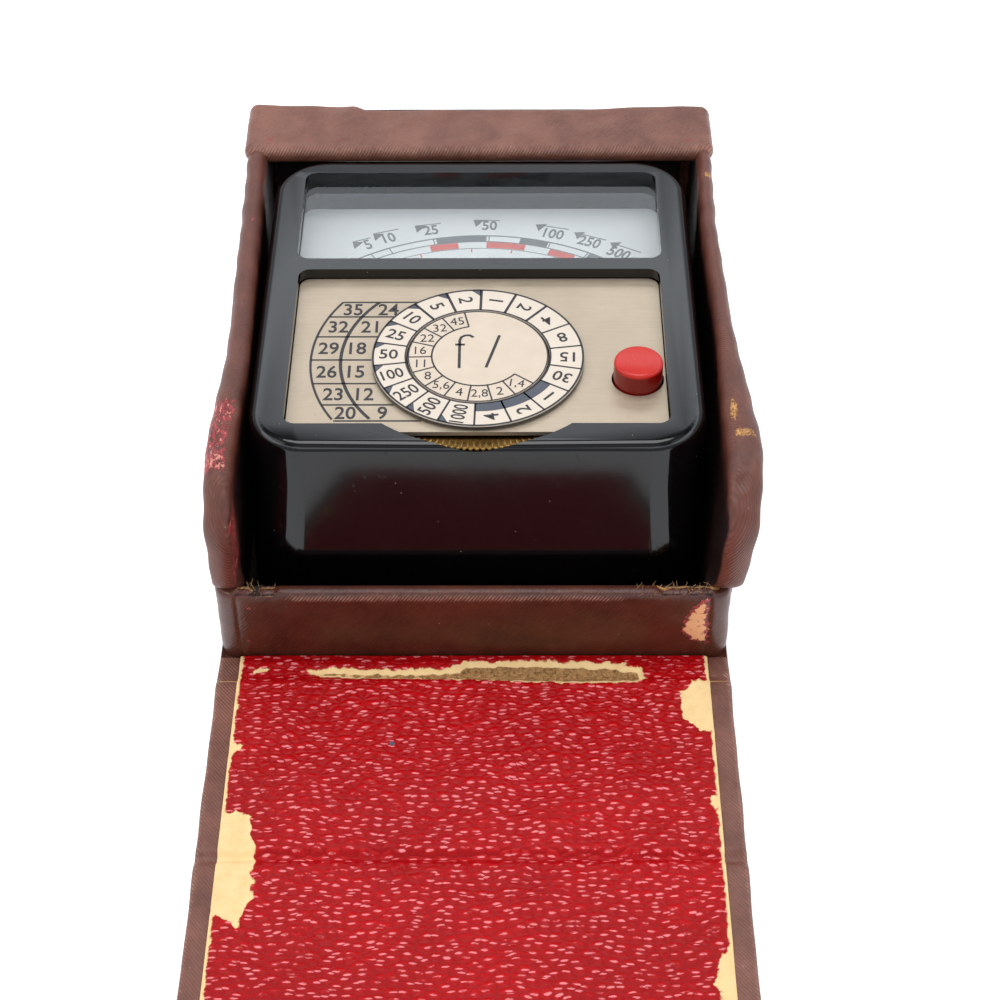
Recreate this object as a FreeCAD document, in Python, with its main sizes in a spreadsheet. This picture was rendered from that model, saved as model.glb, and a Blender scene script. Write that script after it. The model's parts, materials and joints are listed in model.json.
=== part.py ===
"""Selenium light meter lying in its hinged leatherette case, in millimetres.

Row frame: +X to the right of someone reading the dial, +Y towards the light, +Z up.
The origin is the centre of the case's underside.
"""
import FreeCAD, Part
import math
import os
import re
import Sketcher
from FreeCAD import Placement, Rotation, Vector

doc = FreeCAD.newDocument("LightMeter")

# ---------------------------------------------------------------- driving sizes
SIZES = {
    # case boards and skins
    "case_width": 62.0,
    "case_depth": 80.0,
    "case_height": 27.1,
    "board_thick": 1.5,
    "cover_thick": 0.35,
    "lining_thick": 0.25,
    "near_wall_height": 11.5,
    "hood_depth": 10.45,
    "light_width": 40.0,
    "light_low": 6.0,
    "light_high": 17.6,
    "wall_corner": 8.0,
    "right_splay": 2.8,
    "right_foot_splay": 0.9,
    "right_waist": 0.6,
    "left_splay": 0.6,
    "left_foot_splay": 0.2,
    "left_waist": 0.0,
    # flap
    "flap_board_thick": 1.0,
    "border": 2.7,
    "first_groove": 4.1,
    "crease_groove": 2.2,
    "fold_gap": 2.55,
    "lid_clearance": 0.45,
    "end_clearance": 1.05,
    "end_panel_length": 24.0,
    "stud_height": 21.4,
    "stud_radius": 1.7,
    "stud_clearance": 0.2,
    "cap_radius": 3.7,
    # meter body
    "meter_x": 0.5,
    "body_foot_width": 55.4,
    "body_face_width": 55.0,
    "body_foot_near": -36.5,
    "body_foot_far": 29.2,
    "body_face_near": -29.7,
    "body_face_far": 28.3,
    "body_corner": 7.0,
    "body_height": 24.2,
    "body_wall": 1.8,
    "face_round": 1.3,
    "deck_depth": 5.4,
    "base_thick": 1.6,
    "boss_radius": 2.4,
    "boss_height": 8.0,
    "screw_radius": 1.0,
    "seat_clearance": 0.1,
    "wall_clearance": 0.2,
    # window
    "window_width": 47.2,
    "window_near": 6.3,
    "window_far": 25.3,
    "window_corner": 1.6,
    "glass_ledge": 1.3,
    "glass_thick": 1.0,
    "glass_drop": 1.2,
    "scale_drop": 6.7,
    "scale_thick": 0.5,
    # calculator
    "plate_width": 46.1,
    "plate_depth": 29.6,
    "plate_near": -25.7,
    "plate_corner": 1.5,
    "plate_thick": 0.6,
    "plate_drop": 1.5,
    "dial_y": -12.34,
    "ring_radius": 13.14,
    "disc_clearance": 0.15,
    "ring_thick": 0.6,
    "ring_clearance": 0.1,
    "disc_radius": 8.7,
    "hub_wall": 1.6,
    "hub_clearance": 0.3,
    "post_radius": 2.5,
    "disc_overhang": 0.5,
    "rivet_radius": 1.5,
    "running_clearance": 0.05,
    "wheel_radius": 15.6,
    "wheel_thick": 2.0,
    "wheel_teeth": 126.0,
    "tooth_depth": 0.4,
    "wheel_room": 2.0,
    "wheel_lift": 0.2,
    "chamber_floor": 0.8,
    # button and switch
    "button_reach": 4.0,
    "button_y": -16.0,
    "button_radius": 3.0,
    "button_proud": 3.0,
    "button_clearance": 0.2,
    "button_stem": 1.5,
    "button_travel": 1.6,
    "flange_lip": 0.6,
    "spring_radius": 2.6,
    "spring_wire": 0.4,
    "contact_radius": 0.5,
    "contact_spread": 0.9,
    "washer_radius": 1.9,
    "block_radius": 3.6,
    "switch_room": 10.8,
    # cell
    "cell_width": 40.0,
    "cell_low": 5.6,
    "cell_room": 1.1,
    "cell_thick": 1.0,
    "pane_thick": 1.4,
    "pane_ribs": 14.0,
    "frame_thick": 2.8,
    "leaf_thick": 0.25,
    "leaf_width": 3.0,
    # movement
    "pole_low": 8.0,
    "pole_room": 4.5,
    "pole_width": 18.0,
    "pole_depth": 12.0,
    "pole_bore": 6.0,
    "pole_gap": 3.6,
    "magnet_leg": 4.0,
    "magnet_back": 14.0,
    "core_radius": 4.2,
    "coil_width": 10.8,
    "coil_wire": 0.8,
    "coil_breadth": 2.0,
    "coil_gap": 0.4,
    "staff_radius": 0.4,
    "jewel_radius": 1.2,
    "bridge_thick": 0.8,
    "bridge_length": 17.0,
    "bridge_width": 4.0,
    "pillar_radius": 1.4,
    "pointer_rest": 143.0,
    "pointer_length": 30.0,
    "pointer_thick": 0.3,
    "pointer_gap": 0.65,
    "pointer_tail": 5.2,
    "pointer_crank": 10.0,
    "pointer_width": 0.7,
    "tail_weight_radius": 0.9,
    "pointer_hub_radius": 1.1,
    "hairspring_step": 0.35,
    "hairspring_start": 1.1,
    "hairspring_thick": 0.12,
    "zero_radius": 2.5,
    "resistor_radius": 3.0,
    "lead_radius": 0.35,
    "lead_bend": 2.0,
    "lead_aside": 16.0,
}

# names worked out from the driving sizes, used inside formulas
DERIVED = {
    "wall_thick": "(board_thick + 2 * cover_thick)",
    "half_width": "(case_width / 2)",
    "half_depth": "(case_depth / 2)",
    "floor_top": "(cover_thick + board_thick - 0.1 + lining_thick)",
    "face_z": "(floor_top + body_height)",
    "deck_z": "(face_z - deck_depth)",
    "base_top": "(floor_top + base_thick)",
    "plate_top": "(face_z - plate_drop)",
    "plate_seat": "(plate_top - plate_thick)",
    "ring_z": "(plate_top + ring_clearance)",
    "button_top": "(plate_top + button_proud)",
    "chamber_radius": "(wheel_radius + wheel_room)",
    "chamber_z": "(deck_z + chamber_floor)",
    "wheel_z": "(chamber_z + wheel_lift)",
    "scale_z": "(face_z - scale_drop)",
    "pointer_z": "(scale_z + pointer_gap)",
    "glass_z": "(face_z - glass_drop - glass_thick)",
    "flap_thick": "(cover_thick + flap_board_thick + lining_thick)",
    "fold_z": "(cover_thick + lining_thick)",
    "fold_one": "(-half_depth - fold_gap)",
    "front_length": "(button_top + lid_clearance + flap_thick - 2 * fold_z)",
    "top_length": "(case_depth + fold_gap + end_clearance + flap_thick - fold_z)",
    "fold_two": "(fold_one - front_length)",
    "fold_three": "(fold_two - top_length)",
    "ring_bore": "(disc_radius + disc_clearance)",
    "hub_bore": "(disc_radius + hub_clearance)",
    "hub_radius": "(hub_bore + hub_wall)",
    "post_head": "(disc_radius - disc_overhang)",
    "button_hole": "(button_radius + button_clearance)",
    "flange_radius": "(button_hole + flange_lip)",
    "button_x": "(wheel_radius + button_reach)",
    "block_height": "(deck_z - switch_room - base_top)",
    "cell_high": "(scale_z - cell_room)",
    "pole_height": "(scale_z - pole_room - pole_low)",
    "pole_top": "(pole_low + pole_height)",
    "coil_top": "(pole_top + coil_gap + coil_wire)",
    "coil_foot": "(pole_low - coil_gap - coil_wire)",
    "upper_bridge_z": "(coil_top + 1.9)",
    "lower_bridge_z": "(coil_foot - 1.2 - bridge_thick)",
    "hub_z": "(coil_top + 0.9)",
    "cell_plane": "(body_face_far - body_wall - pane_thick - cell_thick - seat_clearance)",
    "flange_top": "(deck_z - 0.1)",
    "washer_z": "(base_top + block_height + 3.7 + button_travel + 0.1)",
}

sheet = doc.addObject("Spreadsheet::Sheet", "Sizes")
for row, (name, number) in enumerate(SIZES.items(), start=1):
    sheet.set(f"A{row}", name)
    sheet.set(f"B{row}", str(number))
    sheet.setAlias(f"B{row}", name)
doc.recompute()

WORD = re.compile(r"[a-z][a-z_]*")


def expand(text):
    """Rewrite a formula of size names as one that refers to the sheet's cells."""
    def swap(match):
        name = match.group(0)
        if name in DERIVED:
            return expand(DERIVED[name])
        return "Sizes." + name if name in SIZES else name
    return WORD.sub(swap, str(text))


def value(text):
    """Work a formula out as a number."""
    result = sheet.evalExpression(expand(text))
    return float(getattr(result, "Value", result))


def bind(thing, prop, text):
    """Tie one property of an object to a formula."""
    thing.setExpression(prop, expand(text))


def place(thing, x="0", y="0", z="0"):
    """Tie an object's position to three formulas."""
    for axis, text in zip("xyz", (x, y, z)):
        bind(thing, f"Placement.Base.{axis}", text)
    return thing


# ---------------------------------------------------------------- primitives and booleans
def box(label, x, y, z):
    """A box between pairs of formulas, low then high, along each axis."""
    item = doc.addObject("Part::Box", label)
    for prop, (low, high) in zip(("Length", "Width", "Height"), (x, y, z)):
        bind(item, prop, f"({high}) - ({low})")
    return place(item, x[0], y[0], z[0])


def cylinder(label, radius, x, y, low, high):
    """An upright cylinder between two heights."""
    item = doc.addObject("Part::Cylinder", label)
    bind(item, "Radius", radius)
    bind(item, "Height", f"({high}) - ({low})")
    return place(item, x, y, low)


def join(label, parts):
    """One solid from several that touch."""
    item = doc.addObject("Part::MultiFuse", label)
    item.Shapes = parts
    item.Refine = True
    return item


def cut(label, base, tool):
    """A solid less a tool."""
    item = doc.addObject("Part::Cut", label)
    item.Base = base
    item.Tool = tool
    return item


def group(label, parts):
    """Separate like solids kept in one node."""
    item = doc.addObject("Part::Compound", label)
    item.Links = parts
    return item


# ---------------------------------------------------------------- sketches and bodies
def new_body(label):
    body = doc.addObject("PartDesign::Body", label)
    body.Label = label
    return body


def sketch_on(body, role, offset="0"):
    """A sketch on one of the body's own origin planes, moved along its normal."""
    sketch = body.newObject("Sketcher::SketchObject", body.Name + "Sketch")
    plane = next(item for item in body.Origin.OriginFeatures if item.Role == role)
    sketch.AttachmentSupport = (plane, [""])
    sketch.MapMode = "FlatFace"
    bind(sketch, "AttachmentOffset.Base.z", offset)
    return sketch


def fix_point(sketch, geometry, point, x, y):
    """Hold a sketch point at two formulas."""
    for kind, text in (("DistanceX", x), ("DistanceY", y)):
        index = sketch.addConstraint(Sketcher.Constraint(kind, geometry, point, value(text)))
        bind(sketch, f"Constraints[{index}]", text)


def polygon(sketch, corners):
    """A closed outline of straight lines through the corners."""
    spots = [Vector(value(x), value(y), 0) for x, y in corners]
    first = sketch.GeometryCount
    count = len(spots)
    for i in range(count):
        sketch.addGeometry(Part.LineSegment(spots[i], spots[(i + 1) % count]), False)
    for i in range(count):
        after = first + (i + 1) % count
        sketch.addConstraint(Sketcher.Constraint("Coincident", first + i, 2, after, 1))
        fix_point(sketch, first + i, 1, *corners[i])


def rounded_rectangle(sketch, x, y, radius):
    """A rectangle between pairs of formulas, with four equal round corners."""
    x0, x1, y0, y1, r = (value(text) for text in (*x, *y, radius))
    lines = [((x0 + r, y0), (x1 - r, y0)), ((x1, y0 + r), (x1, y1 - r)),
             ((x1 - r, y1), (x0 + r, y1)), ((x0, y1 - r), (x0, y0 + r))]
    centres = [(x1 - r, y0 + r), (x1 - r, y1 - r), (x0 + r, y1 - r), (x0 + r, y0 + r)]
    first = sketch.GeometryCount
    for start, end in lines:
        sketch.addGeometry(Part.LineSegment(Vector(*start, 0), Vector(*end, 0)), False)
    for i, centre in enumerate(centres):
        round_corner = Part.Circle(Vector(*centre, 0), Vector(0, 0, 1), r)
        start = math.radians(-90 + 90 * i)
        sketch.addGeometry(Part.ArcOfCircle(round_corner, start, start + math.pi / 2), False)
    for i in range(4):
        line, arc, after = first + i, first + 4 + i, first + (i + 1) % 4
        sketch.addConstraint(Sketcher.Constraint("Tangent", line, 2, arc, 1))
        sketch.addConstraint(Sketcher.Constraint("Tangent", arc, 2, after, 1))
    for i, kind in enumerate(("Horizontal", "Vertical", "Horizontal", "Vertical")):
        sketch.addConstraint(Sketcher.Constraint(kind, first + i))
    for i in range(1, 4):
        sketch.addConstraint(Sketcher.Constraint("Equal", first + 4, first + 4 + i))
    rule = sketch.addConstraint(Sketcher.Constraint("Radius", first + 4, r))
    bind(sketch, f"Constraints[{rule}]", radius)
    sides = (("DistanceY", 0, y[0]), ("DistanceX", 1, x[1]), ("DistanceY", 2, y[1]), ("DistanceX", 3, x[0]))
    for kind, line, text in sides:
        rule = sketch.addConstraint(Sketcher.Constraint(kind, first + line, 1, value(text)))
        bind(sketch, f"Constraints[{rule}]", text)


def pad(body, sketch, height, both_ways=False):
    """Raise a sketch along its normal, or half each way."""
    feature = body.newObject("PartDesign::Pad", body.Name + "Pad")
    feature.Profile = sketch
    bind(feature, "Length", height)
    if both_ways:
        feature.SideType = "Symmetric"
    return feature


def pocket(body, sketch, depth):
    """Sink a sketch against its normal, and make sure that it cut something."""
    doc.recompute()
    before = body.Shape.Volume
    feature = body.newObject("PartDesign::Pocket", body.Name + "Pocket")
    feature.Profile = sketch
    bind(feature, "Length", depth)
    doc.recompute()
    if body.Shape.Volume >= before:
        raise ValueError(f"{feature.Label} cuts nothing")
    return feature


def turned(label, x, y, profile):
    """A body turned about an upright axis from a profile of (radius, height) formulas."""
    body = new_body(label)
    sketch = sketch_on(body, "XZ_Plane")
    polygon(sketch, profile)
    spin = body.newObject("PartDesign::Revolution", label + "Turn")
    spin.Profile = sketch
    spin.ReferenceAxis = (sketch, ["V_Axis"])
    spin.Angle = 360
    return place(body, x, y, "0")


def loft(body, sketches):
    """A straight or smooth solid through several sections."""
    feature = body.newObject("PartDesign::AdditiveLoft", body.Name + "Loft")
    feature.Profile = sketches[0]
    feature.Sections = sketches[1:]
    return feature


def edges_where(shape, test):
    """Names of the edges whose middle passes a test."""
    names = []
    for number, edge in enumerate(shape.Edges, start=1):
        middle = edge.valueAt((edge.FirstParameter + edge.LastParameter) / 2)
        if test(middle, edge):
            names.append(f"Edge{number}")
    return names


def fillet(body, feature, radius, test):
    """Round the feature's edges that pass a test."""
    doc.recompute()
    rounding = body.newObject("PartDesign::Fillet", body.Name + "Round")
    rounding.Base = (feature, edges_where(feature.Shape, test))
    bind(rounding, "Radius", radius)
    return rounding


# ---------------------------------------------------------------- case
def side_wall(label, side, grow):
    """A side wall lofted from far end to near end, leaning out and with a rounded near corner.

    side is +1 for the right wall and -1 for the left, grow is how far the solid stands
    outside the bare board all round.
    """
    name = "right" if side > 0 else "left"
    outer = f"half_width - cover_thick + ({grow})"
    inner = f"half_width - cover_thick - board_thick - ({grow})"
    low = "cover_thick"
    high = f"case_height - cover_thick + ({grow})"
    near = f"-half_depth + cover_thick - ({grow})"
    far = f"half_depth - cover_thick + ({grow})"
    stations = ((far, "0", "0"), ("0", f"{name}_foot_splay / 3", f"{name}_waist"),
                (near, f"{name}_foot_splay", f"{name}_splay"))
    body = new_body(label)
    sections = []
    for y, foot, top in stations:
        sketch = sketch_on(body, "XZ_Plane", f"-({y})")
        polygon(sketch, [(f"{side} * ({inner} + {foot})", low), (f"{side} * ({outer} + {foot})", low),
                         (f"{side} * ({outer} + {top})", high), (f"{side} * ({inner} + {top})", high)])
        sections.append(sketch)
    wall = loft(body, sections)
    near_y, high_z = value(near), value(high)

    def near_top(middle, edge):
        return abs(middle.y - near_y) < 0.01 and abs(middle.z - high_z) < 0.01
    fillet(body, wall, f"wall_corner + ({grow})", near_top)
    return body


def make_case():
    """Boards, leatherette skins and the floor of the case."""
    inside = "half_width - wall_thick - wall_clearance"
    nodes = [box("bottom_cover", ("-half_width", "half_width"), ("fold_one", "half_depth"),
                 ("0", "cover_thick"))]
    board_y = ("-half_depth + wall_thick", "half_depth - wall_thick")
    floor_z = "floor_top - lining_thick"
    nodes.append(box("case_floor", (f"-({inside})", inside), board_y, ("cover_thick", floor_z)))
    nodes.append(box("floor_lining", (f"-({inside})", inside), board_y, (floor_z, "floor_top")))
    for name, side in (("left", -1), ("right", 1)):
        board = side_wall(f"wall_{name}", side, "0")
        skinned = side_wall(f"skinned_{name}", side, "cover_thick")
        nodes += [board, cut(f"cover_{name}", skinned, board)]

    near = box("wall_near", (f"-({inside})", inside),
               ("-half_depth + cover_thick", "-half_depth + cover_thick + board_thick"),
               ("cover_thick", "near_wall_height - cover_thick"))
    near_skin = box("near_skin", (f"-({inside})", inside),
                    ("-half_depth", "-half_depth + wall_thick"), ("cover_thick", "near_wall_height"))
    nodes += [near, cut("cover_near", near_skin, near)]

    light = (("-light_width / 2", "light_width / 2"), ("half_depth - hood_depth", "half_depth + 1"),
             ("light_low", "light_high"))
    far_solid = box("far_solid", (f"-({inside})", inside),
                    ("half_depth - cover_thick - board_thick", "half_depth - cover_thick"),
                    ("cover_thick", "case_height - cover_thick - board_thick"))
    nodes.append(cut("wall_far", far_solid, box("far_light", *light)))
    hood_front = "half_depth - hood_depth"
    nodes.append(box("hood_top", (f"-({inside})", inside),
                     (f"{hood_front} + cover_thick", "half_depth - cover_thick"),
                     ("case_height - cover_thick - board_thick", "case_height - cover_thick")))
    skin = [box("hood_skin_top", (f"-({inside})", inside), (hood_front, "half_depth"),
                ("case_height - cover_thick", "case_height")),
            box("hood_skin_front", (f"-({inside})", inside), (hood_front, f"{hood_front} + cover_thick"),
                ("case_height - cover_thick - board_thick", "case_height - cover_thick")),
            box("hood_skin_far", (f"-({inside})", inside), ("half_depth - cover_thick", "half_depth"),
                ("cover_thick", "case_height - cover_thick"))]
    nodes.append(cut("cover_hood", join("hood_skin", skin), box("skin_light", *light)))
    return nodes


def opened(label, make, opening):
    """A node made by a function of its label, with an opening cut through it if there is one."""
    if opening is None:
        return make(label)
    return cut(label, make(label + "_whole"), opening)


def panel(name, start, length, groove_before, groove_after, opening=None):
    """One stiff panel of the flap: cover with turned-in edges, board and lining.

    The panel runs from the fold line at y = start towards -Y. The grooves are left
    free of board so that the sheets can fold there.
    """
    end = f"{start} - ({length})"
    board_start = f"{start} - ({groove_before})"
    board_end = f"{end} + ({groove_after})"
    board_top = "cover_thick + flap_board_thick"
    edge = "half_width - cover_thick"
    slab = box(f"{name}_slab", (f"-({edge})", edge), (board_end, board_start), ("cover_thick", board_top))
    shell = [box(f"{name}_sheet", ("-half_width", "half_width"), (end, start), ("0", "cover_thick"))]
    lining = [box(f"{name}_lining_flat", ("-half_width + border", "half_width - border"),
                  (board_end, board_start), (board_top, "flap_thick"))]
    for side, low, high in (("left", "-half_width", "-half_width + border"),
                            ("right", "half_width - border", "half_width")):
        shell.append(box(f"{name}_turn_{side}", (low, high), (board_end, board_start),
                         (board_top, "flap_thick")))
        shell.append(box(f"{name}_groove_{side}", (low, high), (end, start), ("cover_thick", "fold_z")))
    for side, low, high in (("left", "-half_width", f"-({edge})"), ("right", edge, "half_width")):
        shell.append(box(f"{name}_side_{side}", (low, high), (board_end, board_start),
                         ("cover_thick", "flap_thick")))
    grooves = (("near", board_start, start), ("far", end, board_end))
    for side, low, high in grooves:
        if value(high) - value(low) > 0:
            lining.append(box(f"{name}_lining_{side}", ("-half_width + border", "half_width - border"),
                              (low, high), ("cover_thick", "fold_z")))
            step = (high, f"{high} + lining_thick") if side == "far" else (f"{low} - lining_thick", low)
            lining.append(box(f"{name}_step_{side}", ("-half_width + border", "half_width - border"),
                              step, ("cover_thick", "flap_thick")))
    folded = join(f"{name}_folded", shell)
    lining_label = f"{name}_lining" if opening is None else f"{name}_lining_whole"
    lined = join(lining_label, lining)
    nodes = [opened(f"{name}_cover", lambda label: cut(label, folded, slab), opening),
             opened(f"{name}_board", lambda label: cut(label, slab, lined), opening)]
    return nodes + [lined if opening is None else cut(f"{name}_lining", lined, opening)]


def make_flap():
    """The three panels, the press stud's cap and socket, and its post on the far wall."""
    half = "crease_groove / 2"
    stud_y = "fold_three - (button_top + lid_clearance + flap_thick - fold_z - stud_height)"
    middle = "cover_thick + flap_board_thick / 2"
    room = cylinder("cap_room", "cap_radius", "0", stud_y, "-1", "flap_thick + 1")
    nodes = panel("front", "fold_one", "front_length", "first_groove / 2", half)
    nodes += panel("top", "fold_two", "top_length", half, half)
    nodes += panel("end", "fold_three", "end_panel_length", half, "0", room)
    nodes.append(cylinder("snap_cap", "cap_radius", "0", stud_y, "0", middle))
    socket = cylinder("socket_disc", "cap_radius", "0", stud_y, middle, "flap_thick")
    hole = cylinder("socket_hole", "stud_radius + stud_clearance", "0", stud_y, middle, "flap_thick + 1")
    nodes.append(cut("snap_socket", socket, hole))
    post = doc.addObject("Part::Cylinder", "snap_post")
    bind(post, "Radius", "stud_radius")
    bind(post, "Height", "end_clearance + flap_board_thick / 2")
    post.Placement = Placement(Vector(0, 0, 0), Rotation(Vector(1, 0, 0), -90))
    nodes.append(place(post, "0", "half_depth", "stud_height"))
    return nodes


# ---------------------------------------------------------------- meter housing
def centred(width, spare="0"):
    """Low and high X of something centred on the meter."""
    return (f"meter_x - ({width}) / 2 - ({spare})", f"meter_x + ({width}) / 2 + ({spare})")


def drafted_block(label, rise, inset):
    """The moulding's drafted shape up to a share of its height, drawn in by an inset.

    A wedge lies on its side by nature, so it is stood up: its own Y becomes row +Z and
    its own Z becomes row -Y. The four slanting corner edges are then rounded.
    """
    def between(name, share):
        return f"(body_foot_{name} + (body_face_{name} - body_foot_{name}) * ({share}))"
    body = new_body(label)
    wedge = body.newObject("PartDesign::AdditiveWedge", label + "Wedge")
    wedge.Placement = Placement(Vector(0, 0, 0), Rotation(Vector(1, 0, 0), 90))
    bind(wedge, "Placement.Base.z", "floor_top")
    bind(wedge, "Ymin", "0")
    bind(wedge, "Ymax", f"body_height * ({rise})")
    for share, prefix in (("0", ""), (rise, "2")):
        low, high = centred(between("width", share))
        for prop, text in ((f"X{prefix}min", f"{low} + ({inset})"), (f"X{prefix}max", f"{high} - ({inset})"),
                           (f"Z{prefix}min", f"-({between('far', share)}) + ({inset})"),
                           (f"Z{prefix}max", f"-({between('near', share)}) - ({inset})")):
            bind(wedge, prop, text)

    def slanting(middle, edge):
        ends = [vertex.Z for vertex in edge.Vertexes]
        return abs(ends[0] - ends[1]) > 1
    fillet(body, wedge, f"body_corner - ({inset})", slanting)
    return body


def boss_spots():
    """Centres of the four screw bosses, near pair then far pair."""
    reach = "body_foot_width / 2 - body_wall - boss_radius"
    near = "body_foot_near + body_wall + boss_radius + 3.6"
    far = "body_foot_far - body_wall - boss_radius - 8"
    return [(f"meter_x + {side} * ({reach} + {grow})", y)
            for y, grow in ((near, -0.6), (far, 0.6)) for side in (-1, 1)]


def rounded_block(label, x, y, z, corner):
    """An upright block with round corners, between pairs of formulas."""
    body = new_body(label)
    sketch = sketch_on(body, "XY_Plane", z[0])
    rounded_rectangle(sketch, x, y, corner)
    pad(body, sketch, f"({z[1]}) - ({z[0]})")
    return body


def body_shell():
    """The moulded housing: drafted block with deck, window well, plate recess and dial chamber."""
    block = drafted_block("block", "1", "0")
    face = value("face_z")
    fillet(block, block.Tip, "face_round", lambda middle, edge: abs(middle.z - face) < 0.01)
    cavity = drafted_block("cavity", "1 - deck_depth / body_height", "body_wall")
    hollow = cut("hollow_block", block, cavity)
    bosses = [cylinder(f"boss_{i}", "boss_radius", x, y, "base_top", "base_top + boss_height")
              for i, (x, y) in enumerate(boss_spots())]
    shell = join("shell_with_bosses", [hollow] + bosses)
    above = "face_z + 1"
    spaces = [
        rounded_block("window_well", centred("window_width"), ("window_near", "window_far"),
                      ("deck_z - 1", above), "window_corner"),
        rounded_block("glass_seat", centred("window_width", "glass_ledge"),
                      ("window_near - glass_ledge", "window_far + glass_ledge"),
                      ("deck_z - 1", "glass_z + glass_thick"), "window_corner"),
        rounded_block("plate_recess", centred("plate_width", "seat_clearance"),
                      ("plate_near - seat_clearance", "plate_near + plate_depth + seat_clearance"),
                      ("plate_seat", above), "plate_corner"),
        cylinder("dial_chamber", "chamber_radius", "meter_x", "dial_y", "chamber_z", "plate_seat + 0.1"),
        cut("wheel_notch",
            cylinder("notch_round", "chamber_radius", "meter_x", "dial_y", "chamber_z", above),
            box("notch_end", centred("2 * chamber_radius"), ("plate_near", "dial_y + chamber_radius"),
                ("chamber_z - 1", "face_z + 2"))),
        cylinder("button_bore", "button_hole", "meter_x + button_x", "button_y", "deck_z - 1", above),
        cylinder("rivet_bore", "rivet_radius", "meter_x", "dial_y", "deck_z - 1", above),
        box("cell_opening", centred("cell_width", "-1"), ("cell_plane", "body_foot_far + 1"),
            ("cell_low + 0.6", "cell_high - 0.6"))]
    spaces += [cylinder(f"boss_hole_{i}", "screw_radius", x, y, "floor_top - 1",
                        "base_top + boss_height - 2") for i, (x, y) in enumerate(boss_spots())]
    return cut("body_shell", shell, join("shell_spaces", spaces))


def base_screws():
    """Four countersunk screws with slotted heads, flush with the base."""
    screws = []
    for i, (x, y) in enumerate(boss_spots()):
        head = doc.addObject("Part::Cone", f"screw_head_{i}")
        bind(head, "Radius1", "screw_radius * 1.9")
        bind(head, "Radius2", "screw_radius")
        bind(head, "Height", "base_thick / 2")
        place(head, x, y, "floor_top")
        shank = cylinder(f"screw_shank_{i}", "screw_radius", x, y, "floor_top + base_thick / 2",
                         "base_top + boss_height - 3")
        slot = box(f"screw_slot_{i}", (f"{x} - 2 * screw_radius", f"{x} + 2 * screw_radius"),
                   (f"{y} - 0.25", f"{y} + 0.25"), ("floor_top - 1", "floor_top + 0.4"))
        screws.append(cut(f"slotted_screw_{i}", join(f"screw_{i}", [head, shank]), slot))
    return group("base_screws", screws)


def base_cover():
    """The plate that closes the housing, inset in its foot and countersunk for the screws."""
    inset = "body_wall + seat_clearance"
    low, high = centred("body_foot_width")
    plate = rounded_block("base_plate", (f"{low} + {inset}", f"{high} - ({inset})"),
                          (f"body_foot_near + {inset} + 0.5", f"body_foot_far - ({inset}) - 0.2"),
                          ("floor_top", "base_top"), f"body_corner - ({inset})")
    holes = [cylinder("zero_bore", "zero_radius + running_clearance", "meter_x", "dial_y",
                      "floor_top - 1", "base_top + 1")]
    for i, (x, y) in enumerate(boss_spots()):
        sink = doc.addObject("Part::Cone", f"countersink_{i}")
        bind(sink, "Radius1", "screw_radius * 1.9")
        bind(sink, "Radius2", "screw_radius")
        bind(sink, "Height", "base_thick / 2")
        place(sink, x, y, "floor_top")
        through = cylinder(f"screw_way_{i}", "screw_radius", x, y, "floor_top + base_thick / 2",
                           "base_top + 1")
        holes += [sink, through]
    return cut("base_cover", plate, join("base_holes", holes))


def make_housing():
    """Housing, base, glass, scale plate and its two pillars."""
    glass = rounded_block("window_glass", centred("window_width", "glass_ledge - seat_clearance"),
                          ("window_near - glass_ledge + seat_clearance",
                           "window_far + glass_ledge - seat_clearance"),
                          ("glass_z", "glass_z + glass_thick"), "window_corner")
    scale_y = ("window_near - glass_ledge - 1.5", "window_far + 0.2")
    scale = rounded_block("scale_plate", centred("window_width", "0.6"), scale_y,
                          ("scale_z - scale_thick", "scale_z"), "window_corner")
    pillars = [cylinder(f"scale_pillar_{i}", "1.2", f"meter_x + {side} * (window_width / 2 - 3)",
                        "window_near + 2", "base_top", "scale_z - scale_thick")
               for i, side in enumerate((-1, 1))]
    return [body_shell(), base_cover(), base_screws(), glass, scale, group("scale_pillars", pillars)]


# ---------------------------------------------------------------- dial and button
def calculator_plate():
    """The nickel plate around the dial, bored for the hub and the button."""
    plate = rounded_block("plate_blank", centred("plate_width"),
                          ("plate_near", "plate_near + plate_depth"),
                          ("plate_seat", "plate_top"), "plate_corner")
    holes = [cylinder("hub_way", "hub_radius + seat_clearance", "meter_x", "dial_y",
                      "plate_seat - 1", "plate_top + 1"),
             cylinder("button_way", "button_hole", "meter_x + button_x", "button_y",
                      "plate_seat - 1", "plate_top + 1")]
    return cut("calculator_plate", plate, join("plate_holes", holes))


def thumb_wheel():
    """The knurled wheel: a disc with a raised hub and vee teeth all round."""
    body = turned("thumb_wheel", "meter_x", "dial_y", [
        ("post_radius + running_clearance", "wheel_z"), ("wheel_radius", "wheel_z"),
        ("wheel_radius", "wheel_z + wheel_thick"), ("hub_radius", "wheel_z + wheel_thick"),
        ("hub_radius", "ring_z"), ("hub_bore", "ring_z"), ("hub_bore", "wheel_z + wheel_thick"),
        ("post_radius + running_clearance", "wheel_z + wheel_thick")])
    half_tooth = "wheel_radius * 3.1416 / wheel_teeth * 0.8"
    notch = sketch_on(body, "XY_Plane", "wheel_z + wheel_thick")
    polygon(notch, [("wheel_radius - tooth_depth", "0"),
                    ("wheel_radius + tooth_depth", f"-2 * {half_tooth}"),
                    ("wheel_radius + tooth_depth", f"2 * {half_tooth}")])
    tooth = pocket(body, notch, "wheel_thick")
    knurl = body.newObject("PartDesign::PolarPattern", "knurl")
    knurl.Originals = [tooth]
    knurl.Axis = (notch, ["N_Axis"])
    knurl.Angle = 360
    bind(knurl, "Occurrences", "wheel_teeth")
    body.Tip = knurl
    return body


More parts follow.
